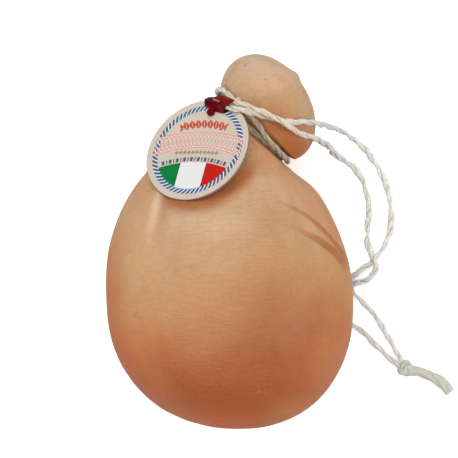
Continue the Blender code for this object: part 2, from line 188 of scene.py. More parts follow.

# Tag: the middle of the card's face, its directions, its hole's place on it, and its oval in plan,
# which the painted shadow of the tag on the rind follows.
TAG_CENTRE = np.array([-16.6, 47.9, 98.6])
TAG_NORMAL = np.array([-0.4325, 0.4676, 0.771])
TAG_UP = np.array([0.240, 0.884, -0.401])
TAG_RADIUS = 29.7
TAG_HOLE = (1.5, 26.4)
TAG_HOLE_RADIUS = 1.8
TAG_OVAL_MIDDLE = (-12.2, 45.0)
TAG_OVAL_WAY = (-0.679, 0.734)
TAG_OVAL_HALVES = (22.9, 29.7)

# The card's print, in card radii: the field's arc, the rope-like ring and the rows' half angle.
ARC_MIDDLE = -2.29
ROPE_RADIUS = 0.834
ROPE_STRANDS = 62.0
ROW_ANGLE = 0.325

# Twine: points round a ply, and the ply's middle, depth and width in twine radii for two or four plies.
PLY_SIDES = 18
PLY_FORMS = {2: (0.55, 0.58, 0.92), 4: (0.52, 0.47, 0.55)}
# Steps between the sections of a wound line.
LINE_STEP = 0.4
TAIL_STEP = 0.35
KNOT_STEP = 0.3

# Stage, in metres: the camera's place in plan, what the lights face, and each light's name, place,
# size, power and colour.
CAMERA_PLAN = (-0.00021, 0.0065)
LIT_POINT = np.array([0.01, -0.01, 0.05])
LIGHTS = (
    ("key_light", (-0.28, 1.15, 1.45), 0.9, 15.0, (1.0, 0.99, 0.97)),
    ("top_light", (0.10, 0.15, 2.60), 1.6, 26.0, (1.0, 1.0, 1.0)),
    ("left_light", (-1.60, 0.00, 1.00), 1.0, 9.0, (1.0, 1.0, 1.0)),
    ("right_light", (1.60, -0.30, 0.90), 1.0, 13.5, (1.0, 1.0, 1.0)),
    ("front_light", (0.10, -1.60, 0.90), 1.0, 7.5, (1.0, 1.0, 1.0)),
)
SKY_STRENGTH = 0.16
FLOOR_HALF = 3.0


# ---------------------------------------------------------------- settings

class RindSettings(PropertyGroup):
    # The ground's colours run from the neck to the foot; the darker foot is partly the rind's smoked tone and
    # partly painted shade of the side away from the key light.
    pale: FloatVectorProperty(
        name="Pale Rind", description="Colour towards the neck", subtype="COLOR",
        default=(0.54, 0.345, 0.20), min=0.0, max=1.0,
    )
    golden: FloatVectorProperty(
        name="Golden Rind", description="Colour at the widest part", subtype="COLOR",
        default=(0.53, 0.27, 0.12), min=0.0, max=1.0,
    )
    smoked: FloatVectorProperty(
        name="Smoked Rind", description="Colour at the bottom, where the smoke is strongest", subtype="COLOR",
        default=(0.41, 0.115, 0.036), min=0.0, max=1.0,
    )
    roughness: FloatProperty(
        name="Roughness", description="Roughness of the waxy skin", default=0.46, min=0.0, max=1.0,
        subtype="FACTOR",
    )
    swell: FloatProperty(
        name="Swell", description="Height of the broad unevenness of the skin", default=0.32 * MM,
        min=0.0, max=2.0 * MM, subtype="DISTANCE", unit="LENGTH", precision=5,
    )
    columns: IntProperty(
        name="Points Around", description="Points around the cheese", default=336, min=48, max=348,
    )


class TwineSettings(PropertyGroup):
    width: FloatProperty(
        name="Twine Width", description="Width over both plies", default=2.8 * MM,
        min=1.0 * MM, max=5.0 * MM, subtype="DISTANCE", unit="LENGTH", precision=5,
    )
    lay: FloatProperty(
        name="Lay Length", description="Length of one full turn of a ply", default=16.5 * MM,
        min=4.0 * MM, max=60.0 * MM, subtype="DISTANCE", unit="LENGTH", precision=5,
    )
    cream: FloatVectorProperty(
        name="Cream", description="Colour of the twine", subtype="COLOR",
        default=(0.91, 0.925, 0.865), min=0.0, max=1.0,
    )
    grey: FloatVectorProperty(
        name="Grey", description="Colour of worn fibres", subtype="COLOR",
        default=(0.67, 0.68, 0.60), min=0.0, max=1.0,
    )


class TagSettings(PropertyGroup):
    thickness: FloatProperty(
        name="Card Thickness", description="Thickness of the card", default=1.2 * MM,
        min=0.5 * MM, max=2.0 * MM, subtype="DISTANCE", unit="LENGTH", precision=5,
    )
    card: FloatVectorProperty(
        name="Card", description="Colour of the bare card", subtype="COLOR",
        default=(0.585, 0.495, 0.41), min=0.0, max=1.0,
    )
    green: FloatVectorProperty(
        name="Green", description="Left field", subtype="COLOR",
        default=(0.0, 0.19, 0.04), min=0.0, max=1.0,
    )
    white: FloatVectorProperty(
        name="White", description="Middle field", subtype="COLOR",
        default=(0.74, 0.73, 0.73), min=0.0, max=1.0,
    )
    red: FloatVectorProperty(
        name="Red", description="Right field", subtype="COLOR",
        default=(0.50, 0.012, 0.008), min=0.0, max=1.0,
    )
    navy: FloatVectorProperty(
        name="Navy", description="Dark blue ink", subtype="COLOR",
        default=(0.012, 0.04, 0.10), min=0.0, max=1.0,
    )


class SealSettings(PropertyGroup):
    plastic: FloatVectorProperty(
        name="Plastic", description="Colour of the seal", subtype="COLOR",
        default=(0.26, 0.002, 0.007), min=0.0, max=1.0,
    )
    bevel: FloatProperty(
        name="Edge", description="Roundness of the moulded edges", default=0.28 * MM,
        min=0.0, max=0.6 * MM, subtype="DISTANCE", unit="LENGTH", precision=5,
    )


class StageSettings(PropertyGroup):
    height: FloatProperty(
        name="Camera Height", description="Height of the camera above the floor", default=2.464,
        min=0.5, max=10.0, subtype="DISTANCE", unit="LENGTH",
    )
    lens: FloatProperty(
        name="Lens", description="Focal length of the camera", default=356.95, min=50.0, max=1000.0,
        subtype="DISTANCE_CAMERA", unit="CAMERA",
    )
    floor: FloatVectorProperty(
        name="Floor", description="Colour of the floor", subtype="COLOR",
        default=(0.92, 0.92, 0.92), min=0.0, max=1.0,
    )


# ---------------------------------------------------------------- arrays and meshes

def unit(vectors):
    """Vectors divided by their lengths."""
    return vectors / np.maximum(np.linalg.norm(vectors, axis=-1, keepdims=True), 1e-12)


def even_angles(count):
    return np.arange(count) * TAU / count


def circle(count):
    """Points at even angles on a circle of radius 1."""
    turn = even_angles(count)
    return np.stack([np.cos(turn), np.sin(turn)], -1)


def fade(x):
    """Runs straight from 0 at 0 to 1 at 1, and stays there."""
    return np.clip(x, 0.0, 1.0)


def bump(x):
    """Bell curve of height 1, about 1 wide on each side."""
    return np.exp(-x * x)


def grid_faces(rows, columns, wrap_rows=False):
    """Quads of a grid whose points are numbered row by row, and whose columns close on themselves."""
    i = np.arange(rows if wrap_rows else rows - 1)[:, None]
    j = np.arange(columns)[None, :]
    i2, j2 = (i + 1) % rows, (j + 1) % columns
    corners = (i * columns + j, i * columns + j2, i2 * columns + j2, i2 * columns + j)
    return np.stack(corners, axis=-1).reshape(-1, 4)


def end_caps(rows, columns):
    """One face over a grid's first row and one over its last."""
    return [np.arange(columns)[::-1], np.arange(columns) + (rows - 1) * columns]


def flux(points, faces):
    """Six times the volume inside quads, positive when they face outwards."""
    a, b, c, d = (points[faces[:, k]] for k in range(4))
    return np.sum(np.cross(b - a, c - a) * (a + d)) + np.sum(np.cross(c - a, d - a) * a)


def make_mesh(name, parts, uv=None, **attributes):
    """One mesh from closed parts, each its points, its quads and its caps, all turned to face outwards."""
    points, loops, sizes, start = [], [], [], 0
    for part_points, quads, caps in parts:
        centred = part_points - part_points.mean(axis=0)
        turned = slice(None, None, -1 if flux(centred, quads) < 0.0 else 1)
        for face in [quads, *(np.asarray(cap)[None, :] for cap in caps)]:
            loops.append((face[:, turned] + start).ravel())
            sizes.append(np.full(len(face), face.shape[1]))
        points.append(part_points)
        start += len(part_points)
    points, loops, sizes = np.concatenate(points), np.concatenate(loops), np.concatenate(sizes)
    mesh = bpy.data.meshes.new(name)
    mesh.vertices.add(len(points))
    mesh.loops.add(len(loops))
    mesh.polygons.add(len(sizes))
    mesh.vertices.foreach_set("co", (points * MM).ravel())
    mesh.loops.foreach_set("vertex_index", loops)
    mesh.polygons.foreach_set("loop_start", np.concatenate([[0], np.cumsum(sizes)[:-1]]))
    mesh.update(calc_edges=True)
    mesh.shade_smooth()
    for key, values in attributes.items():
        values = np.asarray(values, dtype=np.float32)
        kind, field = ("FLOAT", "value") if values.ndim == 1 else ("FLOAT_VECTOR", "vector")
        mesh.attributes.new(key, kind, "POINT").data.foreach_set(field, values.ravel())
    if uv is not None:
        mesh.uv_layers.new(name="print").data.foreach_set("uv", uv[loops].ravel())
    mesh.validate()
    return mesh


def add_piece(name, mesh, material, nodes):
    """Links a finished piece, rides it on the cheese's body and hides the nodes it stands for."""
    piece = bpy.data.objects.new(name, mesh)
    bpy.context.scene.collection.objects.link(piece)
    mesh.materials.append(material)
    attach(piece, "root")
    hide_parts(*nodes)
    return piece


def waves(points, count, shortest, longest, seed):
    """Smooth unevenness, about -1 to 1: a sum of plane waves with random directions and phases."""
    random = np.random.default_rng(seed)
    ways = unit(random.normal(size=(count, 3))) * TAU / random.uniform(shortest, longest, (count, 1))
    return np.sum(np.sin(points @ ways.T + random.uniform(0.0, TAU, count)), axis=-1) / math.sqrt(count)


def from_line(points, route):
    """Signed distance in plan to a line, positive on its right, and the place along it from 0 to 1."""
    route = np.asarray(route, dtype=float)
    starts, steps = route[:-1], np.diff(route, axis=0)
    lengths = np.linalg.norm(steps, axis=1)
    away = points[:, None, :2] - starts
    t = np.clip(np.sum(away * steps, axis=-1) / lengths**2, 0.0, 1.0)
    off = away - t[..., None] * steps
    distance = np.linalg.norm(off, axis=-1)
    nearest = np.argmin(distance, axis=1)
    pick = (np.arange(len(points)), nearest)
    side = np.sign(away[..., 0] * steps[:, 1] - away[..., 1] * steps[:, 0])[pick]
    before = np.concatenate([[0.0], np.cumsum(lengths)])
    place = (before[nearest] + t[pick] * lengths[nearest]) / before[-1]
    return distance[pick] * side, place


# ---------------------------------------------------------------- the form of the cheese

def neck_point(along, across):
    """Plan points from distances along and across the head's axis."""
    along, across = np.asarray(along, dtype=float), np.asarray(across, dtype=float)
    return np.asarray(NECK_CENTRE) + along[..., None] * ALONG + across[..., None] * ACROSS


def axis_height(y):
    """Height of the axis, which dips a little towards the head."""
    return AXIS_HEIGHT - AXIS_DIP * (y - BODY_CENTRE[1])


def body_edges(angle):
    """Both edges in plan: half an ellipse towards the head, half a superellipse at the foot."""
    power = 2.0 / FOOT_SQUARENESS
    foot = angle < 0.0
    rise, spread = np.abs(np.sin(angle)), np.abs(np.cos(angle))
    y = BODY_CENTRE[1] + np.where(foot, -BODY_FOOT_END * rise**power, BODY_HEAD_END * rise)
    half = BODY_RADIUS * np.where(foot, spread**power, spread)
    x = BODY_CENTRE[0] - AXIS_LEAN * (y - BODY_CENTRE[1])
    return np.stack([x - half, y], -1), np.stack([x + half, y], -1)


def shoulder_edges(t):
    """Both edges from the body to the neck, each a cubic with the body's and the neck's directions."""
    step = math.radians(0.5)
    starts, before = body_edges(np.array([SHOULDER_START])), body_edges(np.array([SHOULDER_START - step]))
    ends = neck_point(*SHOULDER_END_LEFT), neck_point(*SHOULDER_END_RIGHT)
    ways = unit(ALONG * 0.98 + ACROSS * 0.06), unit(ALONG * 0.02 - ACROSS)
    t, s = t[:, None], 1.0 - t[:, None]
    edges = []
    for a, near, way, end in zip(starts, before, ways, ends):
        reach = np.linalg.norm(end - a) / 3.0
        b, c = a + unit(a - near) * reach, end - way * reach
        edges.append(a * s**3 + b * (3 * s * s * t) + c * (3 * s * t * t) + end * t**3)
    return edges


def head_edges(angle):
    """Both edges of the head, an ellipse skewed across its axis."""
    rise = np.where(angle > 0.0, HEAD_OUTER_HALF, HEAD_NECK_HALF) * np.sin(angle)
    half, middle = HEAD_RADIUS * np.cos(angle), HEAD_CENTRE[1] + HEAD_SKEW * rise
    left = np.where(rise < 0.0, np.minimum(middle - half, NECK_LEFT - 0.4), middle - half)
    return neck_point(HEAD_CENTRE[0] + rise, left), neck_point(HEAD_CENTRE[0] + rise, middle + half)


def cheese_edges():
    """Both edges of every ring, from just above the foot's tip to just before the head's tip.

    The edges are averaged with their neighbours near the neck, so that its corners are soft.
    """
    first = math.asin((HEAD_START - HEAD_CENTRE[0]) / HEAD_NECK_HALF)
    floor = np.repeat(NECK_FLOOR, 2) + np.array([0.0, 1.5, -1.5, 0.0])
    groups = [
        body_edges(np.linspace(-math.pi / 2, SHOULDER_START, BODY_RINGS)[1:]),
        shoulder_edges(np.linspace(0.0, 1.0, SHOULDER_RINGS)[1:]),
        [neck_point(floor, np.full(4, side)) for side in (NECK_LEFT, NECK_RIGHT)],
        head_edges(np.linspace(first, math.pi / 2, HEAD_RINGS)[:-1]),
    ]
    left, right = (np.concatenate([group[k] for group in groups]) for k in range(2))
    neck, reach = BODY_RINGS + SHOULDER_RINGS, 16
    low, high = neck - reach, neck + reach
    for _ in range(4):
        for edge in (left, right):
            around = edge[low - 1:high - 1] + edge[low + 1:high + 1]
            edge[low:high] = edge[low:high] * 0.5 + around * 0.25
    return left, right


def cheese_grid(columns):
    """Rings of points: each ring is the upright circle that stands on its left and right edge."""
    left, right = cheese_edges()
    middle, half = (left + right) / 2.0, (right - left) / 2.0
    turn = even_angles(columns)
    plan = middle[:, None] + half[:, None] * np.cos(turn)[:, None]
    radius = np.linalg.norm(half, axis=1)[:, None]
    height = axis_height(middle[:, 1])[:, None] + radius * np.sin(turn)
    return np.concatenate([plan, height[..., None]], axis=-1), turn


def raise_nub(points):
    """Lifts the skin into the small nub on the head's top."""
    place = neck_point(*NUB_PLACE)
    away = points - np.array([*place, axis_height(place[1])])
    lift = NUB_HEIGHT * np.exp(-np.sum(away**2, axis=-1) / (2 * NUB_SPREAD**2))
    return points + lift[..., None] * np.array([*ALONG, 0.0])


def rind_relief(points, normals, turn, swell):
    """Height of the skin over the plain form, and the masks of its marks.

    Broad and fine waves, pulls that run from the neck down the shoulder, a fold on the head, a ridge
    on the shoulder with a furrow beside it, two shallow dark lines dented into the flank, one pale
    scuff and a few pits. A mark is a bell curve of the distance in plan to its line, and fades at its ends.
    """
    upper = fade(normals[:, 2] * 3.0)
    along = (points[:, :2] - np.asarray(NECK_CENTRE)) @ ALONG
    height = swell / MM * waves(points, 24, 34.0, 80.0, 3) + 0.045 * waves(points, 40, 7.0, 16.0, 4)

    random = np.random.default_rng(8)
    counts = random.integers(17, 61, 14)
    pulls = sum(np.cos(n * turn + random.uniform(0.0, TAU) + 0.004 * n * along) for n in counts)
    near_neck = bump((along + 8.0) / 30.0) * fade(-along / 4.0)
    on_head = bump((along - 6.0) / 9.0) * fade(along / 4.0)
    height += pulls / math.sqrt(len(counts)) * (0.06 * near_neck + 0.04 * on_head)

    side, where = from_line(points, HEAD_FOLD)
    ends = fade(np.minimum(where, 1.0 - where) * 6.0) * upper
    fold = bump(side / 0.5) * ends
    height += (0.35 * bump((side - 1.3) / 1.0) - 0.25 * bump((side + 1.2) / 1.2)) * ends - 0.30 * fold

    side, where = from_line(points, SHOULDER_RIDGE)
    ends = fade((1.0 - where) * 2.2) * upper
    ridge = bump(side / (1.9 + 0.6 * where)) * ends
    furrow = bump((side + 4.8) / 2.3) * ends
    height += 0.34 * ridge - 0.30 * furrow

    # A flank line follows the flank: below its own highest point it drops away from its line.
    marks, stops = [], np.linspace(0.0, 1.0, 21)
    for route, depth, start, spread, late in FLANK_LINES:
        side, where = from_line(points, route)
        on_line = np.abs(side) < 1.5
        crest = [points[on_line & (np.abs(where - s) < 0.04), 2].max(initial=0.0) for s in stops]
        drop = np.maximum(np.interp(where, stops, crest) - points[:, 2] - 4.0, 0.0)
        side = np.sign(side) * np.hypot(side, 0.35 * drop)
        width = start + spread * where
        ends = fade((where - late) * 3.0) * fade((1.0 - where) * 7.0)
        ends = ends * fade((points[:, 2] - AXIS_HEIGHT + 14.0) / 14.0)
        marks.append(np.stack([np.clip(side / width, -4.0, 4.0), ends, where], -1))
        dent = 0.14 * bump((np.abs(side) - 2.2 * width) / width) - 0.5 * bump(side / width)
        height += depth * ends * dent

    pits = sum(bump(np.hypot(points[:, 0] - x, points[:, 1] - y) / size) for x, y, size in PITS) * upper
    side, where = from_line(points, SCUFF)
    broken = (0.55 + 0.45 * np.cos(where * 17.0)) * fade(where * (1.0 - where) * 9.0)
    scuff = bump(side / 0.55) * broken * upper
    height += 0.12 * scuff - 0.30 * pits
    # The folds mask carries painted shade in the fold and the furrow, and the ridge mask a painted highlight
    # on the ridge, with the real pale scuff.
    masks = {
        "outer_mark": marks[0], "inner_mark": marks[1], "folds": fold + 0.9 * furrow, "pits": pits,
        "ridge": 0.9 * ridge + 0.3 * scuff,
    }
    return height, masks


def cheese_mesh(columns, swell, twine_line):
    """The cheese: rings of circles between two poles, lifted along their normals by the relief.

    The skin also swells beside the twine, and the relief dies out towards both poles.
    """
    grid, turn = cheese_grid(columns)
    grid = raise_nub(grid)
    rows = len(grid)
    normals = unit(np.cross(np.roll(grid, -1, 1) - np.roll(grid, 1, 1), np.gradient(grid, axis=0)))
    foot = body_edges(np.array([-math.pi / 2]))[0][0]
    top = neck_point(HEAD_CENTRE[0] + HEAD_OUTER_HALF, HEAD_CENTRE[1] + HEAD_SKEW * HEAD_OUTER_HALF)
    poles = np.array([[*foot, axis_height(foot[1])], [*top, axis_height(top[1])]])
    poles[1] = raise_nub(poles[1])
    points = np.concatenate([grid.reshape(-1, 3), poles])
    normals = np.concatenate([normals.reshape(-1, 3), [[0.0, -1.0, 0.0], [*ALONG, 0.0]]])
    if np.sum(normals * (points - points.mean(axis=0))) < 0.0:
        normals[:-2] *= -1.0
    place = np.concatenate([np.repeat(np.linspace(0.0, 1.0, rows), columns), [0.0, 1.0]])
    turns = np.concatenate([np.tile(turn, rows), [0.0, 0.0]])
    height, masks = rind_relief(points, normals, turns, swell)
    near = np.min(np.linalg.norm(points[:, None] - twine_line[None, ::3], axis=-1), axis=1)
    height += 0.4 * bump((near - 3.6) / 1.3)
    from_end = 1.0 - bump(np.arange(rows) / 5.0)
    height[:-2] *= np.repeat(from_end * from_end[::-1], columns)
    height[-2:] = 0.0
    points = points + normals * height[:, None]
    points[:, 2] = np.maximum(points[:, 2], 0.0)
    fan = np.arange(columns)
    after, last = (fan + 1) % columns, (rows - 1) * columns
    caps = [
        *np.stack([np.full(columns, rows * columns), after, fan], -1),
        *np.stack([np.full(columns, rows * columns + 1), fan + last, after + last], -1),
    ]
    girth = np.stack([np.cos(turns), np.sin(turns), place * 6.0], -1)
    parts = [(points, grid_faces(rows, columns), caps)]
    # The crease mask lies beside the twine, where the rind's material paints shade in the crease.
    return make_mesh("cheese_rind", parts, girth=girth, crease=bump(near / 5.0), **masks)


# ---------------------------------------------------------------- twine

def smooth_line(route, step):
    """Points at even steps on the Catmull-Rom curve through a route's points."""
    knots = np.asarray(route, dtype=float)
    knots = np.concatenate([[2 * knots[0] - knots[1]], knots, [2 * knots[-1] - knots[-2]]])
    a, b, c, d = (knots[k:len(knots) - 3 + k, None] for k in range(4))
    t = np.linspace(0.0, 1.0, 20, endpoint=False)[None, :, None]
    bend = (2 * a - 5 * b + 4 * c - d) * t**2 + (3 * b - a - 3 * c + d) * t**3
    fine = np.concatenate([(b + ((c - a) * t + bend) / 2).reshape(-1, 3), knots[-2:-1]])
    return even_line(fine, step)


def even_line(line, step):
    """The same line with points at even steps."""
    lengths = np.concatenate([[0.0], np.cumsum(np.linalg.norm(np.diff(line, axis=0), axis=1))])
    places = np.linspace(0.0, lengths[-1], round(lengths[-1] / step) + 1)
    return np.stack([np.interp(places, lengths, line[:, k]) for k in range(3)], -1)


def turn_line(node, step):
    """The centreline of a closed neck turn: its tube's points, averaged by angle round the neck."""
    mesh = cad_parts[node].data
    points = np.empty(len(mesh.vertices) * 3)
    mesh.vertices.foreach_get("co", points)
    points = points.reshape(-1, 3) / MM
    plan = points[:, :2] - np.asarray(NECK_CENTRE)
    angle = np.arctan2(points[:, 2] - axis_height(points[:, 1]), plan @ ACROSS)
    off = (even_angles(120)[:, None] - angle + math.pi) % TAU - math.pi
    weights = bump(off / math.radians(3.4))
    line = (weights @ points) / weights.sum(axis=1, keepdims=True)
    return even_line(np.concatenate([line, line[:1]]), step)[:-1]


def mirrored(vectors, across):
    """Vectors mirrored in the planes that stand at a right angle to other vectors."""
    size = np.maximum(np.sum(across**2, -1, keepdims=True), 1e-12)
    return vectors - across * (2.0 * np.sum(across * vectors, -1, keepdims=True) / size)


def carried_frames(line, closed):
    """Directions across a line that turn with it as little as they can (double reflection, summed).

    Also gives the angle by which they miss their start after one whole turn of a closed line.
    """
    after, before = np.roll(line, -1, 0), np.roll(line, 1, 0)
    tangents = unit(after - before) if closed else unit(np.gradient(line, axis=0))
    onward = after - line
    guide = np.array([0.31, 0.27, 0.91])
    across = unit(guide - tangents * (tangents @ guide)[:, None])
    ahead, target = np.roll(tangents, -1, 0), np.roll(across, -1, 0)
    carried = mirrored(mirrored(across, onward), ahead - mirrored(tangents, onward))
    slip = np.arctan2(-np.sum(carried * np.cross(ahead, target), -1), np.sum(carried * target, -1))
    angles = np.concatenate([[0.0], np.cumsum(slip)])
    total, angles = angles[-1], angles[:-1, None]
    first = across * np.cos(angles) - np.cross(tangents, across) * np.sin(angles)
    return tangents, first, np.cross(tangents, first), total


def fullness(line, swellings):
    """Thickness along a line, 1 where it is plain, with a bell curve at each swelling."""
    swellings = np.array(swellings)
    away = np.linalg.norm(line[:, None, :2] - swellings[:, :2], axis=-1)
    return 1.0 + bump(away / swellings[:, 3]) @ swellings[:, 2]


def twine_parts(line, width, lay, closed=False, plies=2, seed=1, wander=0.0, blunt=2.0, full=1.0):
    """Plies wound round a line, each an oval section that turns with the lay.

    A ply's middle goes round the line in a right-handed helix. Its section is an oval, wider across
    the radius than along it, with small yarn ridges that run the other way. Open ends are rounded.
    The line wanders a little to the sides, the lay is longer where an open line is steep, and the
    thickness varies along it.
    """
    random = np.random.default_rng(seed)
    count, radius = len(line), width / 2.0
    step = np.linalg.norm(line[1] - line[0])
    length, along = count * step, np.arange(count) * step
    share = along[:, None] / length

    def ripples(spans, heights, draws=3):
        """Sine waves along the line, about a span long each, a whole number of times over it."""
        phases = random.uniform(0.0, TAU, draws)[:3]
        return np.sin(TAU * np.round(length / np.array(spans)) * share + phases) @ np.array(heights)

    tangents, first, second, total = carried_frames(line, closed)
    steep = 1.0 if closed else np.hypot(np.hypot(tangents[:, 0], tangents[:, 1]), 0.3 * tangents[:, 2])
    phase = np.cumsum(np.full(count, TAU * step / lay) * steep)
    if closed:
        match = TAU / plies
        phase = phase * (round((phase[-1] + total) / match) * match - total) / phase[-1]
    # Six phases are drawn and three are used, which keeps the later draws as they are.
    loose = ripples((66.7, 35.3, 19.4), (1 / 3, 1 / 3, 1 / 3), draws=6)
    phase = phase + 0.7 * loose
    for way in (first, second):
        line = line + way * (wander * ripples((31.0, 18.0, 9.5), (0.5, 0.4, 0.35)))[:, None]
    taper = 1.0
    if not closed:
        end = fade(np.minimum(along, along[::-1]) / (blunt * 0.4 * radius))
        taper = np.sqrt(np.clip(1.0 - (1.0 - end) ** 2, 0.02, 1.0))
    offset, deep, wide = (radius * form for form in PLY_FORMS[plies])
    section = even_angles(PLY_SIDES)
    parts, wound = [], []
    for ply in range(plies):
        angle = phase + ply * TAU / plies
        out = first * np.cos(angle)[:, None] + second * np.sin(angle)[:, None]
        over = np.cross(tangents, out)
        thick = full * taper * (1.0 + ripples((15.0, 8.3, 4.6), (0.09, 0.08, 0.06)))
        twist = section - 0.55 * angle[:, None]
        oval = thick[:, None] * (1.0 + 0.02 * np.cos(5.0 * twist) + 0.012 * np.cos(11.0 * twist + 1.0))
        reach = (offset * full * (1.0 + 0.08 * loose))[:, None] + deep * oval * np.cos(section)
        points = line[:, None] + out[:, None] * reach[..., None]
        points = points + over[:, None] * (wide * oval * np.sin(section))[..., None]
        points[..., 2] = np.maximum(points[..., 2], 0.02)
        caps = [] if closed else end_caps(count, PLY_SIDES)
        parts.append((points.reshape(-1, 3), grid_faces(count, PLY_SIDES, wrap_rows=closed), caps))
        spin, far = twist + ply * 2.0, np.repeat(along * 0.06 + ply * 7.0, PLY_SIDES)
        wound.append(np.stack([np.cos(spin).ravel(), np.sin(spin).ravel(), far], -1))
    # The last array marks each ply's inner side, where the twine's material paints shade in the furrow.
    return parts, np.concatenate(wound), np.tile(0.5 - 0.5 * np.cos(section), count * plies)


def twine_mesh(name, sets, stain=0.0, grey=0.0):
    """One mesh from several wound parts, with the tone that multiplies the twine's colour.

    The tone runs from white to cream with height, to brown on the neck's right, and to grey. The
    brown is painted shade where the head shades the neck turns, and the grey is painted shade on the
    knot, the tail and the neck turns. It is darker where the strands lie crossed on the surface.
    """
    parts = [part for each in sets for part in each[0]]
    wound, furrow = (np.concatenate([each[k] for each in sets]) for k in (1, 2))
    points = np.concatenate([part[0] for part in parts])
    across = (points[:, :2] - np.asarray(NECK_CENTRE)) @ ACROSS
    cream = 1.15 * fade((points[:, 2:] - 62.0) / 36.0)
    # Painted shade: brown on the neck's right and grey in the tone.
    brown = stain * fade((across + 12.0) / 14.0)[:, None]
    tone = 1.0 - cream * (1.0 - np.array([0.93, 0.83, 0.71]))
    tone *= (1.0 - brown * (1.0 - np.array([0.65, 0.60, 0.52]))) * (1.0 - grey * np.array([0.95, 1.02, 1.20]))
    tone *= 1.0 - 0.24 * bump(np.hypot(points[:, :1] - 68.0, points[:, 1:2] + 21.0) / 8.0)
    return make_mesh(name, parts, wound=wound, furrow=furrow, tone=tone)


def knot_line(centre, halves, turn):
    """A three-lobed closed loop, the middle line of an overhand knot pulled tight."""
    t = np.linspace(0.0, TAU, 400)
    x = (np.sin(t) + 2.0 * np.sin(2.0 * t)) / 2.74
    y = (np.cos(t) - 2.0 * np.cos(2.0 * t)) / 2.9
    cos, sin = math.cos(turn), math.sin(turn)
    loop = np.stack([x * cos - y * sin, x * sin + y * cos, -np.sin(3.0 * t)], -1)
    return even_line(loop * np.asarray(halves) + np.asarray(centre), KNOT_STEP)[:-1]


# ---------------------------------------------------------------- tag and seal

def tag_frame():
    """The card's own directions: right, up and out of its face."""
    normal = unit(TAG_NORMAL)
    up = unit(TAG_UP - normal * (TAG_UP @ normal))
    return np.stack([np.cross(up, normal), up, normal])


def on_tag(points):
    """From the card's own frame to the row frame."""
    return TAG_CENTRE + points @ tag_frame()


def tag_mesh(thickness):
    """The card: rows of circles that pass from the punched hole's edge to the rim, over and under.

    A row gives the share of the way to the rim, the circles' radii at the hole and at the rim, and
    the height. Each point lies that far along the straight way between them, on a slightly bent card.
    The back's print lies far off the front's, where the card is bare.
    """
    thick, rim, hole = thickness / MM, TAG_RADIUS, TAG_HOLE_RADIUS
    front = [
        (0.0, hole, 0.0, -thick / 2), (0.0, hole, 0.0, -0.2), (0.0, hole + 0.08, 0.0, -0.05),
        (0.0, hole + 0.22, 0.0, 0.0),
        *((s, hole + 0.22, rim - 0.3, 0.0) for s in np.linspace(0.03, 0.97, 26)),
        (1.0, 0.0, rim - 0.3, 0.0), (1.0, 0.0, rim - 0.09, -0.06), (1.0, 0.0, rim, -0.26),
    ]
    back = [(s, h, r, -thick - z) for s, h, r, z in front[:0:-1]]
    rows, ways = np.array(front + back), circle(180)
    s, h, r, z = (rows[:, k, None, None] for k in range(4))
    plan = (1.0 - s) * (np.asarray(TAG_HOLE) + h * ways) + s * r * ways
    bow = 0.35 * (plan[..., :1] / rim) ** 2 - 0.2 * (plan[..., 1:] / rim) ** 2
    points = np.concatenate([plan, np.broadcast_to(z, plan[..., :1].shape) + bow * 0.6], -1)
    shift = np.where(np.arange(len(rows)) > len(front), 4.0, 0.0)[:, None, None]
    uv = (plan / rim + shift).reshape(-1, 2)
    quads = grid_faces(len(rows), len(ways), wrap_rows=True)
    return make_mesh("tag_card", [(on_tag(points.reshape(-1, 3)), quads, [])], uv=uv)


def loft_part(sections):
    """A closed solid through sections that have the same number of corners."""
    sections = np.asarray(sections, dtype=float)
    size = sections.shape[:2]
    return on_tag(sections.reshape(-1, 3)), grid_faces(*size), end_caps(*size)


def disc_part(centre, profile, sides=40):
    """A solid turned round the card's normal from a profile of radius and height."""
    profile = np.asarray(profile, dtype=float)
    ring = profile[:, None, :1] * circle(sides)
    height = np.broadcast_to(profile[:, None, 1:], ring[..., :1].shape)
    return loft_part(np.concatenate([ring, height], -1) + np.asarray(centre))


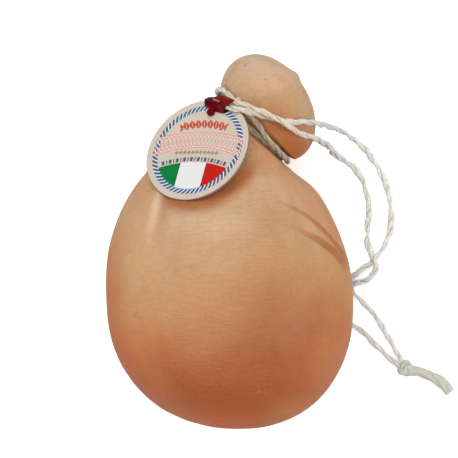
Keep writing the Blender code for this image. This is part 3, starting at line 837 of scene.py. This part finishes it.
def seal_parts():
    """The seal's body, flap, side, rib, lug and neck, and the pin and button that hold the card. The side
    is a wedge painted near black where there is only the shadow under the flap's end, and the rib is
    painted pale as a highlight.

    The corners are in the card's own frame.
    """
    body = loft_part([
        [(-2.8, 25.6, 0.4), (-1.3, 26.7, 4.0), (-0.9, 27.7, 4.7), (-1.3, 28.3, 0.4)],
        [(1.5, 23.7, 0.4), (1.6, 26.7, 4.2), (1.5, 28.2, 4.9), (1.5, 28.6, 0.4)],
        [(5.7, 22.0, 0.4), (5.5, 26.0, 4.3), (5.5, 28.2, 5.0), (5.5, 28.2, 0.4)],
        [(9.0, 21.2, 0.4), (8.6, 25.0, 4.4), (8.6, 27.6, 5.0), (9.0, 26.8, 0.4)],
        [(10.2, 21.6, 0.4), (11.4, 23.2, 4.4), (11.2, 25.6, 5.0), (10.4, 24.4, 0.4)],
    ])
    outline = np.array([
        (-1.1, 27.0), (1.3, 28.4), (4.6, 28.4), (7.3, 29.4), (9.9, 29.4), (14.0, 28.0), (17.5, 26.3),
        (16.0, 24.8), (12.6, 22.9), (11.5, 23.1), (8.6, 25.3), (5.5, 26.3),
    ])
    low = 4.7 + 0.05 * np.clip(outline[:, :1] - 9.0, 0.0, None)
    ridge = np.array([8.0, 26.6]) + (outline - np.array([8.0, 26.6])) * np.array([0.72, 0.16])
    flap = loft_part([
        np.concatenate([outline, low], 1), np.concatenate([outline, low + 0.6], 1),
        np.concatenate([ridge, low + 1.5], 1),
    ])
    # The side is a wedge painted near black: it stands where there is only the shadow under the flap's right
    # end.
    side = loft_part([
        [(10.0, 21.4, 0.4), (11.0, 23.4, 4.0), (10.9, 25.4, 4.4), (10.4, 25.0, 0.4)],
        [(12.6, 22.6, 0.4), (13.6, 23.6, 3.4), (14.0, 25.4, 4.4), (13.0, 25.6, 0.4)],
    ])
    # The rib is a thin ridge painted pale: a painted highlight along the flap's lower edge.
    rib = loft_part([
        [(4.4, 26.4, 5.2), (4.4, 26.8, 6.5), (4.4, 27.3, 5.2)],
        [(6.8, 25.9, 5.3), (6.8, 26.3, 6.9), (6.8, 26.8, 5.3)],
        [(9.2, 25.2, 5.3), (9.2, 25.6, 6.5), (9.2, 26.0, 5.3)],
    ])
    lug = disc_part((2.6, 21.6, 0.0), [(1.7, 0.3), (2.15, 0.6), (2.15, 2.0), (1.8, 2.45), (0.9, 2.6)])
    neck = loft_part([
        [(1.6, 21.4, 0.5), (1.6, 21.4, 2.2), (3.8, 21.0, 2.2), (3.8, 21.0, 0.5)],
        [(2.0, 24.6, 0.5), (2.0, 24.6, 2.6), (4.6, 23.6, 2.6), (4.6, 23.6, 0.5)],
    ])
    pin = disc_part((*TAG_HOLE, 0.0), [(1.15, -2.0), (1.15, 1.6)], 28)
    button = disc_part((*TAG_HOLE, 0.0), [(1.9, -2.6), (2.35, -2.35), (2.35, -1.85), (2.0, -1.62)])
    return [body, flap, side, rib, lug, neck, pin, button]


# ---------------------------------------------------------------- materials

class Field:
    """A number that changes over a surface: the output of a math node, used as in a formula."""

    def __init__(self, tree, socket):
        self.tree, self.socket = tree, socket

    def op(self, operation, *others):
        node = self.tree.nodes.new("ShaderNodeMath")
        node.operation = operation
        for socket, value in zip(node.inputs, (self, *others)):
            feed(self.tree, value, socket)
        return Field(self.tree, node.outputs[0])

    def __add__(self, other):
        return self.op("ADD", other)

    def __sub__(self, other):
        return self.op("SUBTRACT", other)

    def __mul__(self, other):
        return self.op("MULTIPLY", other)

    def __truediv__(self, other):
        return self.op("DIVIDE", other)

    def __lt__(self, other):
        return self.op("LESS_THAN", other)

    def __gt__(self, other):
        return self.op("GREATER_THAN", other)

    def __abs__(self):
        return self.op("ABSOLUTE")

    def between(self, low, high):
        """1 between two numbers and 0 elsewhere."""
        return (self > low) * (self < high)

    def with_side(self, other):
        """The long side over two sides at a right angle."""
        return (self * self + other * other).op("SQRT")

    def ramped(self, low, high, start=0.0, end=1.0):
        """Runs smoothly from start to end as the number goes from low to high."""
        node = self.tree.nodes.new("ShaderNodeMapRange")
        node.interpolation_type = "SMOOTHSTEP"
        feed(self.tree, self, node.inputs["Value"])
        for key, value in (("From Min", low), ("From Max", high), ("To Min", start), ("To Max", end)):
            node.inputs[key].default_value = value
        return Field(self.tree, node.outputs["Result"])

    def falling(self, low, high):
        """Runs smoothly from 1 down to 0."""
        return self.ramped(low, high, 1.0, 0.0)


def feed(tree, value, socket):
    """Links a field or a socket, or sets a plain value; a plain colour is opaque."""
    if isinstance(value, Field):
        value = value.socket
    if isinstance(value, bpy.types.NodeSocket):
        tree.links.new(value, socket)
    else:
        socket.default_value = (*value, 1.0) if socket.type == "RGBA" else value


def new_group(name, inputs, output):
    """An empty shader node group, its inputs as fields, and its output's socket. An input without a
    default is a vector."""
    group = bpy.data.node_groups.new(name, "ShaderNodeTree")
    for key, default in inputs.items():
        kind = "NodeSocketVector" if default is None else "NodeSocketFloat"
        socket = group.interface.new_socket(key, in_out="INPUT", socket_type=kind)
        if default is not None:
            socket.default_value = default
    group.interface.new_socket(output, in_out="OUTPUT", socket_type="NodeSocketFloat")
    entry, leave = group.nodes.new("NodeGroupInput"), group.nodes.new("NodeGroupOutput")
    return group, [Field(group, entry.outputs[key]) for key in inputs], leave.inputs[0]


def noise(tree, **values):
    """Layered noise from 0 to 1."""
    node = tree.nodes.new("ShaderNodeTexNoise")
    for key, value in values.items():
        feed(tree, value, node.inputs[key])
    return Field(tree, node.outputs["Fac"])


def mottle_group():
    """Soft patches: layered noise, stretched to the whole range from 0 to 1."""
    if "soft_mottle" in bpy.data.node_groups:
        return bpy.data.node_groups["soft_mottle"]
    inputs = {"Vector": None, "Scale": 10.0, "Detail": 3.0, "Sharpness": 0.5}
    group, (vector, scale, detail, sharpness), leave = new_group("soft_mottle", inputs, "Mask")
    centred = noise(group, Vector=vector, Scale=scale, Detail=detail) - 0.5
    mask = centred * (sharpness * 6.0 + 1.0) + 0.5
    feed(group, mask.op("MAXIMUM", 0.0).op("MINIMUM", 1.0), leave)
    return group


def grain_group():
    """Fine relief: small noise with smaller noise on it, as a height from 0 to 1."""
    if "fine_grain" in bpy.data.node_groups:
        return bpy.data.node_groups["fine_grain"]
    inputs = {"Vector": None, "Scale": 500.0, "Fineness": 4.0}
    group, (vector, scale, fineness), leave = new_group("fine_grain", inputs, "Height")
    coarse = noise(group, Vector=vector, Scale=scale)
    fine = noise(group, Vector=vector, Scale=scale * fineness)
    feed(group, coarse * 0.65 + fine * 0.35, leave)
    return group


class Look:
    """A material being made: its node tree, its Principled shader and the colour laid on so far."""

    def __init__(self, name, roughness, **constants):
        self.material = bpy.data.materials.new(name)
        self.material.use_nodes = True
        self.tree = self.material.node_tree
        self.shader = next(n for n in self.tree.nodes if n.type == "BSDF_PRINCIPLED")
        self.shader.inputs["Roughness"].default_value = roughness
        for key, value in constants.items():
            self.shader.inputs[key.replace("_", " ")].default_value = value
        self.color = None

    def place(self):
        return self.tree.nodes.new("ShaderNodeTexCoord").outputs["Object"]

    def attribute(self, name, output="Fac"):
        node = self.tree.nodes.new("ShaderNodeAttribute")
        node.attribute_name = name
        return Field(self.tree, node.outputs[output])

    def parts(self, vector):
        """The vector's numbers as fields."""
        node = self.tree.nodes.new("ShaderNodeSeparateXYZ")
        feed(self.tree, vector, node.inputs[0])
        return [Field(self.tree, socket) for socket in node.outputs]

    def scaled(self, vector, scale):
        """A vector stretched along its axes."""
        node = self.tree.nodes.new("ShaderNodeVectorMath")
        node.operation = "MULTIPLY"
        feed(self.tree, vector, node.inputs[0])
        node.inputs[1].default_value = scale
        return node.outputs[0]

    def use(self, group, **values):
        """Places a node group and gives its inputs their values."""
        node = self.tree.nodes.new("ShaderNodeGroup")
        node.node_tree = group
        for key, value in values.items():
            feed(self.tree, value, node.inputs[key])
        return Field(self.tree, node.outputs[0])

    def mottle(self, vector, scale, detail, sharpness):
        return self.use(mottle_group(), Vector=vector, Scale=scale, Detail=detail, Sharpness=sharpness)

    def grain(self, vector, scale, fineness):
        return self.use(grain_group(), Vector=vector, Scale=scale, Fineness=fineness)

    def mix(self, amount, first, second, blend="MIX"):
        """Colour that goes from first to second with the amount."""
        node = self.tree.nodes.new("ShaderNodeMix")
        node.data_type, node.blend_type = "RGBA", blend
        for place, value in ((0, amount), (6, first), (7, second)):
            feed(self.tree, value, node.inputs[place])
        return node.outputs[2]

    def lay(self, amount, color, blend="MIX"):
        """Lays a colour over the colour so far."""
        self.color = self.mix(amount, self.color, color, blend)

    def tint(self, amount, color):
        """Multiplies the colour so far."""
        self.lay(amount, color, "MULTIPLY")

    def finish(self, height, distance, strength, roughness=None):
        """Feeds the shader's colour, relief and, when it varies, roughness."""
        node = self.tree.nodes.new("ShaderNodeBump")
        node.inputs["Distance"].default_value = distance
        node.inputs["Strength"].default_value = strength
        feed(self.tree, height, node.inputs["Height"])
        feed(self.tree, node.outputs["Normal"], self.shader.inputs["Normal"])
        feed(self.tree, self.color, self.shader.inputs["Base Color"])
        if roughness is not None:
            feed(self.tree, roughness, self.shader.inputs["Roughness"])
        return self.material


def rind_material(settings):
    """Waxy smoked rind: pale at the neck, golden at the waist, brown at the bottom, partly from smoke and
    partly painted shade, with soft patches, pale streaks down the shoulder, and darker flank lines and pits.
    Painted shade lies on the flanks, the left rim, the head's underside, the crease, the fold and the
    furrow, a painted shadow of the tag lies below it, and painted highlights lie on the streaks, the
    ridge and the head's top."""
    look = Look(
        "smoked_rind", settings.roughness, Subsurface_Weight=0.22, Subsurface_Radius=(1.0, 0.42, 0.18),
        Subsurface_Scale=0.004, Specular_IOR_Level=0.10, Coat_Weight=0.15, Coat_Roughness=0.38,
    )
    place = look.place()
    x, y, z = look.parts(place)
    plan_x, plan_y = x / MM, y / MM
    broad = look.mottle(place, 26.0, 2.0, 0.25)
    patches = look.mottle(place, 95.0, 4.0, 0.4)
    flecks = look.mottle(place, 520.0, 3.0, 0.5)
    streaks = look.mottle(look.scaled(look.attribute("girth", "Vector"), (7.0, 7.0, 0.9)), 1.6, 4.0, 0.6)

    def from_middle(middle, way):
        """Distances in plan from a middle, along a direction and across it."""
        off_x, off_y = plan_x - middle[0], plan_y - middle[1]
        return off_x * way[0] + off_y * way[1], off_x * way[1] - off_y * way[0]

    def oval(middle, halves):
        """Distance in plan from a middle, 1 on the oval with those halves."""
        return ((plan_x - middle[0]) / halves[0]).with_side((plan_y - middle[1]) / halves[1])

    # The ground, from the brown bottom over the golden waist to the pale neck. The darker bottom is
    # partly the rind's smoked tone and partly painted shade of the side away from the key light.
    rise = plan_y + x.ramped(-0.050, 0.036, 12.0, -7.0) + (broad - 0.5) * 16.0 + (patches - 0.5) * 2.5
    look.color = look.mix(rise.ramped(-72.0, -22.0), settings.smoked, settings.golden)
    look.lay(rise.ramped(-34.0, 34.0), settings.pale)
    look.lay((patches - 0.5) * 0.2, (0.80, 0.62, 0.46), "SOFT_LIGHT")
    look.lay(flecks.ramped(0.35, 1.0, 0.0, 0.025), (0.80, 0.60, 0.42))
    look.lay(flecks.ramped(0.0, 0.35, 0.030, 0.0), (0.30, 0.12, 0.045))
    # Painted highlight: pale streaks along the shoulder's pleats, which also carry real relief.
    shoulder = plan_y.ramped(-28.0, 20.0) * plan_y.falling(40.0, 62.0)
    look.lay(streaks.ramped(0.45, 0.95) * shoulder * 0.07, (0.84, 0.62, 0.42))

    # Painted shade: deeper colour down the flanks, where the sides turn from the light, and round the rim on
    # the left.
    flank = (z / MM).falling(50.0, 108.0) * plan_y.falling(10.0, 50.0)
    look.tint(flank * x.ramped(0.020, 0.055, 0.75, 0.40), (0.95, 0.66, 0.42))
    rim = (oval(RIM_MIDDLE, RIM_HALVES) + (broad - 0.5) * 0.16).ramped(0.84, 1.05)
    moved_y = y + (broad - 0.5) * 0.02
    rim = rim * moved_y.ramped(-0.085, -0.035, 0.15, 1.0) * moved_y.falling(-0.030, 0.022)
    rim = rim * x.falling(-0.030, 0.020) * z.ramped(0.040, 0.072)
    look.tint(rim * 0.85, (1.05, 0.62, 0.26))

    # Painted shadow of the tag: a brown crescent below it, which follows the tag's oval.
    short, long = from_middle(TAG_OVAL_MIDDLE, TAG_OVAL_WAY)
    below = (short / TAG_OVAL_HALVES[0]).with_side(long / TAG_OVAL_HALVES[1]).falling(0.99, 1.27)
    below = below * y.falling(0.034, 0.045) * x.ramped(-0.042, -0.034) * z.ramped(0.066, 0.084)
    deep = look.mix(x.ramped(-0.012, 0.016), (0.38, 0.115, 0.035), (0.60, 0.210, 0.075))
    look.lay(below * 0.92, deep)

    # Painted light and shade round the neck: painted shade makes the head brown where it meets the neck
    # on the right, and a painted highlight lies on the head's top. Painted warm shade lies on the body
    # beside the neck, painted shade deepens the crease under the twine, and a little painted light lifts
    # that crease on the head's side.
    along, across = from_middle(NECK_CENTRE, ALONG)
    under = along.falling(8.0, 29.0) * along.ramped(-3.0, 2.0) * across.ramped(-16.0, 8.0)
    look.lay(under * 0.88, (0.45, 0.14, 0.04))
    head_highlight = along.ramped(16.0, 30.0) * across.falling(-8.0, 14.0) * patches.ramped(0.15, 0.75, 0.25, 1.0)
    look.lay(head_highlight * 0.5, (0.72, 0.51, 0.36))
    warm_shade = along.ramped(-22.0, -4.0) * along.falling(-1.0, 1.0) * across.ramped(-20.0, -4.0)
    look.tint(warm_shade * 0.7, (1.12, 0.88, 0.70))
    crease = look.attribute("crease")
    look.lay(crease * along.ramped(0.0, 3.0, 0.55, 0.0), (0.42, 0.135, 0.045))
    inside = crease * along.ramped(1.0, 4.0) * across.ramped(-8.0, 4.0)
    look.lay(inside * 0.22, (0.62, 0.26, 0.10))

    # The two dark flank lines, the broad tints, and the other marks of the relief.
    marks = []
    for name, depth in (("outer_mark", 0.92), ("inner_mark", 1.0)):
        level, ends, where = look.parts(look.attribute(name, "Vector"))
        marks.append(abs(level).ramped(0.55, 1.45, depth, 0.0) * ends * where.ramped(0.0, 0.7, 0.6, 1.0))
    look.tint(marks[0].op("MAXIMUM", marks[1]), (0.80, 0.53, 0.31))
    shown = z.ramped(0.030, 0.062)
    # The tints stand partly for the rind's uneven tone and partly for painted light and shade.
    for middle, reach, tint in TONE_AND_LIGHT_TINTS:
        look.tint(oval(middle, reach).falling(0.0, 1.5) * shown, tint)
    # Painted shade in the fold and the furrow, a painted highlight on the ridge over the real pale scuff, and
    # the dark pits.
    look.lay(look.attribute("folds") * 0.28, (0.36, 0.14, 0.05))
    look.lay(look.attribute("ridge") * 0.50, (0.90, 0.68, 0.48))
    look.lay(look.attribute("pits") * 0.45, (0.16, 0.06, 0.02))

    # Fine wrinkles that run across, and fine lines that run lengthways on the lower right.
    creased = look.mottle(look.scaled(place, (110.0, 330.0, 160.0)), 1.0, 4.0, 0.6)
    combed = look.mottle(look.scaled(place, (420.0, 70.0, 200.0)), 1.0, 3.0, 0.6)
    creased, combed = abs(creased - 0.5), abs(combed - 0.5)
    wrinkles = creased.ramped(0.0, 0.30) * x.ramped(0.020, 0.045, 1.8, 0.6)
    combing = combed.ramped(0.0, 0.30) * x.ramped(0.015, 0.040, 0.0, 1.5) * y.ramped(-0.070, -0.045)
    lines = creased.falling(0.0, 0.10) * x.ramped(0.020, 0.050, 1.0, 0.4)
    lines = lines.op("MAXIMUM", combed.falling(0.0, 0.10) * x.ramped(0.015, 0.045) * 0.8)
    look.lay(lines * 0.10, (0.24, 0.10, 0.045))
    height = look.grain(place, 420.0, 3.1) + streaks * shoulder * 0.3 + wrinkles + combing
    roughness = patches * 0.10 + flecks * 0.08 + (settings.roughness - 0.09)
    return look.finish(height, 0.00022, 0.5, roughness)


def twine_material(settings):
    """Cream cotton: fibres along each yarn, and painted shade, a grey, in the furrow between the plies."""
    look = Look(
        "cotton_twine", 0.88, Sheen_Weight=0.25, Sheen_Roughness=0.5, Subsurface_Weight=0.12,
        Subsurface_Radius=(1.0, 0.8, 0.6), Subsurface_Scale=0.0008,
    )
    wound = look.attribute("wound", "Vector")
    place = look.place()
    fibres = look.mottle(look.scaled(wound, (5.0, 5.0, 1.6)), 2.2, 5.0, 0.6)
    look.color = look.mix(fibres.ramped(0.1, 0.9) * 0.35, settings.cream, settings.grey)
    look.lay(look.mottle(place, 60.0, 2.0, 0.5) * 0.20, (0.72, 0.71, 0.66))
    look.lay(look.mottle(place, 620.0, 3.0, 0.6).ramped(0.2, 0.9) * 0.24, (0.42, 0.39, 0.33))
    # Painted shade in the furrow between the plies.
    look.lay(look.attribute("furrow").ramped(0.5, 1.0) * 0.15, (0.56, 0.53, 0.45))
    look.tint(1.0, look.attribute("tone", "Color"))
    return look.finish(look.grain(look.scaled(wound, (5.0, 5.0, 1.2)), 2.6, 2.7), 0.0005, 0.7)


def card_material(settings):
    """Printed card: a rope-like ring, a three-colour field under an arc and rows of plain ornament.

    x and y count from the card's middle in card radii. A row's cell is the fraction of the way along
    it, and a shape in a cell is where an oval's or a lozenge's own distance stays below one.
    """
    look = Look("printed_card", 0.42, Specular_IOR_Level=0.12, Coat_Weight=0.0)
    uv = look.tree.nodes.new("ShaderNodeUVMap")
    uv.uv_map = "print"
    x, y, _ = look.parts(uv.outputs["UV"])
    radius = x.with_side(y)
    turn = y.op("ARCTAN2", x)
    mottle = look.mottle(look.place(), 70.0, 4.0, 0.3)
    look.color = look.mix(mottle * 0.22, settings.card, (0.68, 0.62, 0.53))

    def around(middle):
        """Distance from a point on the card's upright line, and the angle from upright there."""
        up = y - middle
        return x.with_side(up), x.op("ARCTAN2", up)

    def cells(length, spacing):
        """From -1 to 1 across each cell of a row."""
        return ((length / spacing).op("FRACT") - 0.5) * 2.0

    # The three-colour field, under an arc and inside the ring.
    reach, _ = around(ARC_MIDDLE)
    inks = look.mix(x > -0.27, settings.green, settings.white)
    inks = look.mix(x > 0.25, inks, settings.red)
    inks = look.mix(x.between(-0.285, -0.265) * 0.7, inks, (0.0, 0.05, 0.02))
    inks = look.mix(x.between(0.25, 0.268) * 0.7, inks, (0.16, 0.01, 0.01))
    look.lay((reach < 2.04) * (radius < 0.80), inks)

    # The rope-like ring: slanted strands, white in the middle and dark at their edges.
    level = (radius - ROPE_RADIUS) / 0.058
    across = cells(turn + (radius - ROPE_RADIUS) * 0.95, TAU / ROPE_STRANDS)
    end = level * level * level * level * 0.85
    inside = (across * across * 0.95 + end < 1.0) * (abs(level) < 1.0)
    body = look.mix((across + end * 0.3).ramped(-0.20, 0.20), (0.042, 0.150, 0.32), (0.80, 0.86, 0.90))
    body = look.mix((abs(across + 0.08) + end * 0.4).ramped(0.48, 0.78), body, settings.navy)
    look.lay(inside * 0.94, body)

    # A row of red leaves on an arc.
    reach, angle = around(-0.965)
    level = (reach - 1.475) / 0.084
    leaf = cells(angle * 1.475 + 0.06 + level * 0.022, 0.12)
    leaves = (abs(leaf) * 1.02 + level * level * 0.9 < 1.0) * (abs(angle) < ROW_ANGLE)
    vein = (abs(leaf) < 0.12) * (abs(level) < 0.6)
    look.lay(leaves * 0.92, (0.48, 0.04, 0.016))
    look.lay(leaves * vein * 0.8, (0.80, 0.50, 0.38))

    # Two interlaced chains of pale ovals with thin red edges, larger towards both ends.
    level = (y + x * x * 0.19 - 0.19) / (x * x * 0.05 + 0.155)
    chain = abs(x) < 0.86
    for shift in (0.0, 0.5):
        oval = cells(x + 0.0775 + shift * 0.155, 0.155)
        ring = (oval * oval * 0.62 + level * level).op("SQRT")
        look.lay(ring.between(0.70, 1.0) * chain * 0.85, (0.50, 0.12, 0.08))
        look.lay(ring.between(0.765, 0.935) * chain * 0.82, (0.84, 0.70, 0.62))

    # A row of ochre lozenges, then navy dots and dashes along the field's upper edge.
    level = (y + 0.055 + x * x * 0.08) / 0.045
    ochre = (abs(cells(x + 0.04, 0.08)) + abs(level) < 1.0) * (abs(x) < 0.46)
    look.lay(ochre * 0.85, (0.30, 0.21, 0.10))
    reach, angle = around(ARC_MIDDLE)
    level = (reach - 2.100) / 0.040
    row = angle * 2.10 + 0.035
    wide = (cells(row, 0.14) > 0.0) * 0.42 + 0.32
    dashes = (abs(cells(row, 0.07)) < wide) * (abs(level) < 1.0) * (abs(angle) < ROW_ANGLE)
    look.lay(dashes * 0.9, settings.navy)
    # Painted shade on the card's edge: a dark brown band round the rim and on its side.
    look.lay(radius.ramped(0.985, 0.998) * (radius < 1.5) * 0.85, (0.16, 0.095, 0.06))
    return look.finish(look.grain(look.place(), 900.0, 2.5), 0.00006, 0.5, mottle * 0.12 + 0.36)


def plastic_material(settings):
    """Dark red see-through plastic with a clean gloss and faint moulding waves. The flap has a painted
    glow that brightens towards its tip, painted shade darkens its edges, the body's upper back and the
    lug, the side wedge is a near-black painted shadow and the rib a painted highlight.
    """
    look = Look("red_plastic", 0.08, Transmission_Weight=0.10, IOR=1.45, Specular_IOR_Level=0.10)
    place = look.place()
    cloud = look.mottle(place, 240.0, 2.0, 0.5)
    look.color = look.mix(cloud * 0.6, settings.plastic, (0.07, 0.001, 0.003))
    # Painted glow: the flap brightens towards its tip, as if lit through.
    tip = look.parts(place)[0].ramped(-0.010, 0.002)
    glow = look.mix(tip, (0.06, 0.006, 0.004), (0.30, 0.012, 0.006))
    # Painted light and shade laid by the pieces' attributes.
    for name, amount, color in (
        ("flap", 0.9, glow), ("shade", 0.75, (0.045, 0.001, 0.002)),
        ("side", 0.95, (0.012, 0.001, 0.001)), ("rib", 0.95, (0.80, 0.24, 0.24)),
    ):
        look.lay(look.attribute(name) * amount, color)
    return look.finish(look.grain(place, 350.0, 2.0), 0.00012, 0.35, cloud * 0.06 + 0.05)


def floor_material(settings):
    """Plain pale floor, which throws back less light than the camera sees on it."""
    look = Look("pale_floor", 0.9, Specular_IOR_Level=0.0, Emission_Strength=1.0)
    seen = look.tree.nodes.new("ShaderNodeLightPath").outputs["Is Camera Ray"]
    for key, unseen, color in (
        ("Base Color", (0.60, 0.60, 0.60), settings.floor),
        ("Emission Color", (0.0, 0.0, 0.0), (0.45, 0.45, 0.45)),
    ):
        feed(look.tree, look.mix(seen, unseen, color), look.shader.inputs[key])
    return look.material


# ---------------------------------------------------------------- operators

def add_twine(name, node, sets, settings, **tones):
    """Adds a piece of wound twine; all of them share one material."""
    twine = bpy.data.materials.get("cotton_twine") or twine_material(settings)
    return add_piece(name, twine_mesh(name, sets, **tones), twine, [node])


class AddStage(Operator):
    """Adds the camera over the cheese, the soft lights and the plain floor."""

    bl_idname = "caciocavallo.add_stage"
    bl_label = "Stage"

    def execute(self, context):
        settings = context.scene.caciocavallo_stage
        camera = bpy.data.objects.new("camera", bpy.data.cameras.new("camera"))
        camera.location = (*CAMERA_PLAN, settings.height)
        camera.data.lens = settings.lens
        camera.data.clip_end = 50.0
        context.scene.collection.objects.link(camera)
        context.scene.camera = camera
        for name, place, size, power, color in LIGHTS:
            light = bpy.data.objects.new(name, bpy.data.lights.new(name, "AREA"))
            light.data.size, light.data.energy, light.data.color = size, power, color
            light.location = place
            x, y, z = LIT_POINT - np.array(place)
            light.rotation_euler = (math.atan2(math.hypot(x, y), -z), 0.0, math.atan2(y, x) - math.pi / 2)
            light.visible_camera = False
            context.scene.collection.objects.link(light)
        world = bpy.data.worlds.new("soft_sky")
        world.use_nodes = True
        sky = world.node_tree.nodes["Background"].inputs
        sky["Color"].default_value = (1.0, 1.0, 1.0, 1.0)
        sky["Strength"].default_value = SKY_STRENGTH
        context.scene.world = world
        context.scene.view_settings.view_transform = "Standard"
        mesh = bpy.data.meshes.new("floor")
        corners = [(x * FLOOR_HALF, y * FLOOR_HALF, 0.0) for x, y in ((-1, -1), (1, -1), (1, 1), (-1, 1))]
        mesh.from_pydata(corners, [], [(0, 1, 2, 3)])
        mesh.materials.append(floor_material(settings))
        floor = bpy.data.objects.new("floor", mesh)
        context.scene.collection.objects.link(floor)
        return {"FINISHED"}


class AddHangingCord(Operator):
    """Adds the two strands of the hanging cord, the knot that joins them and the doubled tail."""

    bl_idname = "caciocavallo.add_hanging_cord"
    bl_label = "Hanging Cord"

    def execute(self, context):
        settings = context.scene.caciocavallo_twine
        width, lay = settings.width / MM, settings.lay / MM
        loop = knot_line(END_KNOT, (2.6, 2.8, 1.35), 0.9)
        knot = twine_parts(loop, width * 1.3, lay, closed=True, seed=5)
        core = twine_parts(smooth_line(KNOT_CORE, KNOT_STEP), width * 1.3, lay, seed=7)
        end_knot = add_twine("end_knot_wraps", "end_knot", [knot, core], settings, grey=0.20)
        line = smooth_line(TAIL, TAIL_STEP)
        full = fullness(line, TAIL_SWELLINGS)
        wound = twine_parts(line, TAIL_WIDTH, TAIL_LAY, plies=4, seed=6, blunt=1.4, full=full)
        tail = add_twine("tail_strands", "tail", [wound], settings, grey=0.25)
        for name, route, swellings, seed, others in (
            ("strand_inner", STRAND_INNER, INNER_SWELLINGS, 11, [end_knot, tail]),
            ("strand_outer", STRAND_OUTER, OUTER_SWELLINGS, 12, []),
        ):
            line = smooth_line(route, LINE_STEP)
            full = 0.95 * fullness(line, swellings)
            wound = twine_parts(line, width, lay, seed=seed, wander=0.38, full=full)
            piece = add_twine(name + "_twine", name, [wound], settings)
        return {"FINISHED"}


class AddNeckTwine(Operator):
    """Adds the two turns of twine round the neck and the knot that ties them."""

    bl_idname = "caciocavallo.add_neck_twine"
    bl_label = "Neck Twine"

    def execute(self, context):
        settings = context.scene.caciocavallo_twine
        width, lay = settings.width * 0.9 / MM, settings.lay / MM
        for name, seed in (("neck_turn_lower", 21), ("neck_turn_upper", 22)):
            line = turn_line(name, LINE_STEP)
            wound = twine_parts(line, width, lay, closed=True, seed=seed, wander=0.1)
            add_twine(name + "_twine", name, [wound], settings, stain=0.95, grey=0.06)
        line = knot_line(TIE_KNOT, (1.6, 1.6, 3.4), 0.4)
        wound = twine_parts(line, width, lay, closed=True, seed=23)
        add_twine("tie_knot_wraps", "tie_knot", [wound], settings)
        return {"FINISHED"}


class AddCheese(Operator):
    """Adds the cheese with its rind, folds and marks."""

    bl_idname = "caciocavallo.add_cheese"
    bl_label = "Cheese"

    def execute(self, context):
        settings = context.scene.caciocavallo_rind
        turns = [turn_line(name, LINE_STEP) for name in ("neck_turn_lower", "neck_turn_upper")]
        mesh = cheese_mesh(settings.columns, settings.swell, np.concatenate(turns))
        add_piece("cheese_rind", mesh, rind_material(settings), ["cheese"])
        return {"FINISHED"}


class AddTag(Operator):
    """Adds the round printed card."""

    bl_idname = "caciocavallo.add_tag"
    bl_label = "Tag"

    def execute(self, context):
        settings = context.scene.caciocavallo_tag
        add_piece("tag_card", tag_mesh(settings.thickness), card_material(settings), ["tag"])
        return {"FINISHED"}


class AddSeal(Operator):
    """Adds the plastic seal that fixes the tag."""

    bl_idname = "caciocavallo.add_seal"
    bl_label = "Seal"

    def execute(self, context):
        settings = context.scene.caciocavallo_seal
        parts = seal_parts()
        number = np.repeat(np.arange(len(parts)), [len(points) for points, _, _ in parts])
        body, flap, side, rib, lug = (number == k for k in range(5))
        # Painted shade: darker upper back corners of the body, a dark edge round the flap's outline and a
        # darker lug.
        edge = [1.0, 1.0, 0.8, 0.5, 0.6, 0.7, 1.0, 0.6, 0.3, 0.7, 1.0, 1.0]
        shade = np.where(lug, 0.55, 0.0)
        shade[body] = np.tile([0.1, 0.75, 1.0, 1.0], 5)
        shade[flap] = [*edge, *edge, *np.zeros(len(edge))]
        mesh = make_mesh("seal_moulding", parts, flap=flap, side=side, rib=rib, shade=shade)
        piece = add_piece("seal_moulding", mesh, plastic_material(settings), ["seal"])
        mesh.set_sharp_from_angle(angle=math.radians(50.0))
        edges = piece.modifiers.new("rounded_edges", "BEVEL")
        edges.width = settings.bevel
        edges.segments = 3
        edges.limit_method = "ANGLE"
        edges.angle_limit = math.radians(35.0)
        edges.use_clamp_overlap = True
        return {"FINISHED"}


class CaciocavalloPanel(Panel):
    """Lists the pieces of the smoked caciocavallo."""

    bl_idname = "VIEW3D_PT_caciocavallo"
    bl_label = "Smoked Caciocavallo"
    bl_space_type = "VIEW_3D"
    bl_region_type = "UI"
    bl_category = "Caciocavallo"

    def draw(self, context):
        scene = context.scene
        for title, settings, buttons in (
            ("Rind", scene.caciocavallo_rind, (AddCheese,)),
            ("Twine", scene.caciocavallo_twine, (AddHangingCord, AddNeckTwine)),
            ("Tag", scene.caciocavallo_tag, (AddTag,)),
            ("Seal", scene.caciocavallo_seal, (AddSeal,)),
            ("Stage", scene.caciocavallo_stage, (AddStage,)),
        ):
            box = self.layout.box()
            box.label(text=title)
            for key in settings.__annotations__:
                box.prop(settings, key)
            for button in buttons:
                box.operator(button.bl_idname)


SETTINGS = {
    "caciocavallo_rind": RindSettings,
    "caciocavallo_twine": TwineSettings,
    "caciocavallo_tag": TagSettings,
    "caciocavallo_seal": SealSettings,
    "caciocavallo_stage": StageSettings,
}
OPERATORS = (AddStage, AddHangingCord, AddNeckTwine, AddCheese, AddTag, AddSeal)


def register():
    for kind in (*SETTINGS.values(), *OPERATORS, CaciocavalloPanel):
        bpy.utils.register_class(kind)
    for key, kind in SETTINGS.items():
        setattr(bpy.types.Scene, key, PointerProperty(type=kind))


def unregister():
    for key in SETTINGS:
        delattr(bpy.types.Scene, key)
    for kind in reversed((*SETTINGS.values(), *OPERATORS, CaciocavalloPanel)):
        bpy.utils.unregister_class(kind)


def main():
    register()
    bpy.ops.caciocavallo.add_stage()
    bpy.ops.caciocavallo.add_hanging_cord()
    bpy.ops.caciocavallo.add_neck_twine()
    bpy.ops.caciocavallo.add_cheese()
    bpy.ops.caciocavallo.add_tag()
    bpy.ops.caciocavallo.add_seal()


if __name__ == "__main__":
    main()
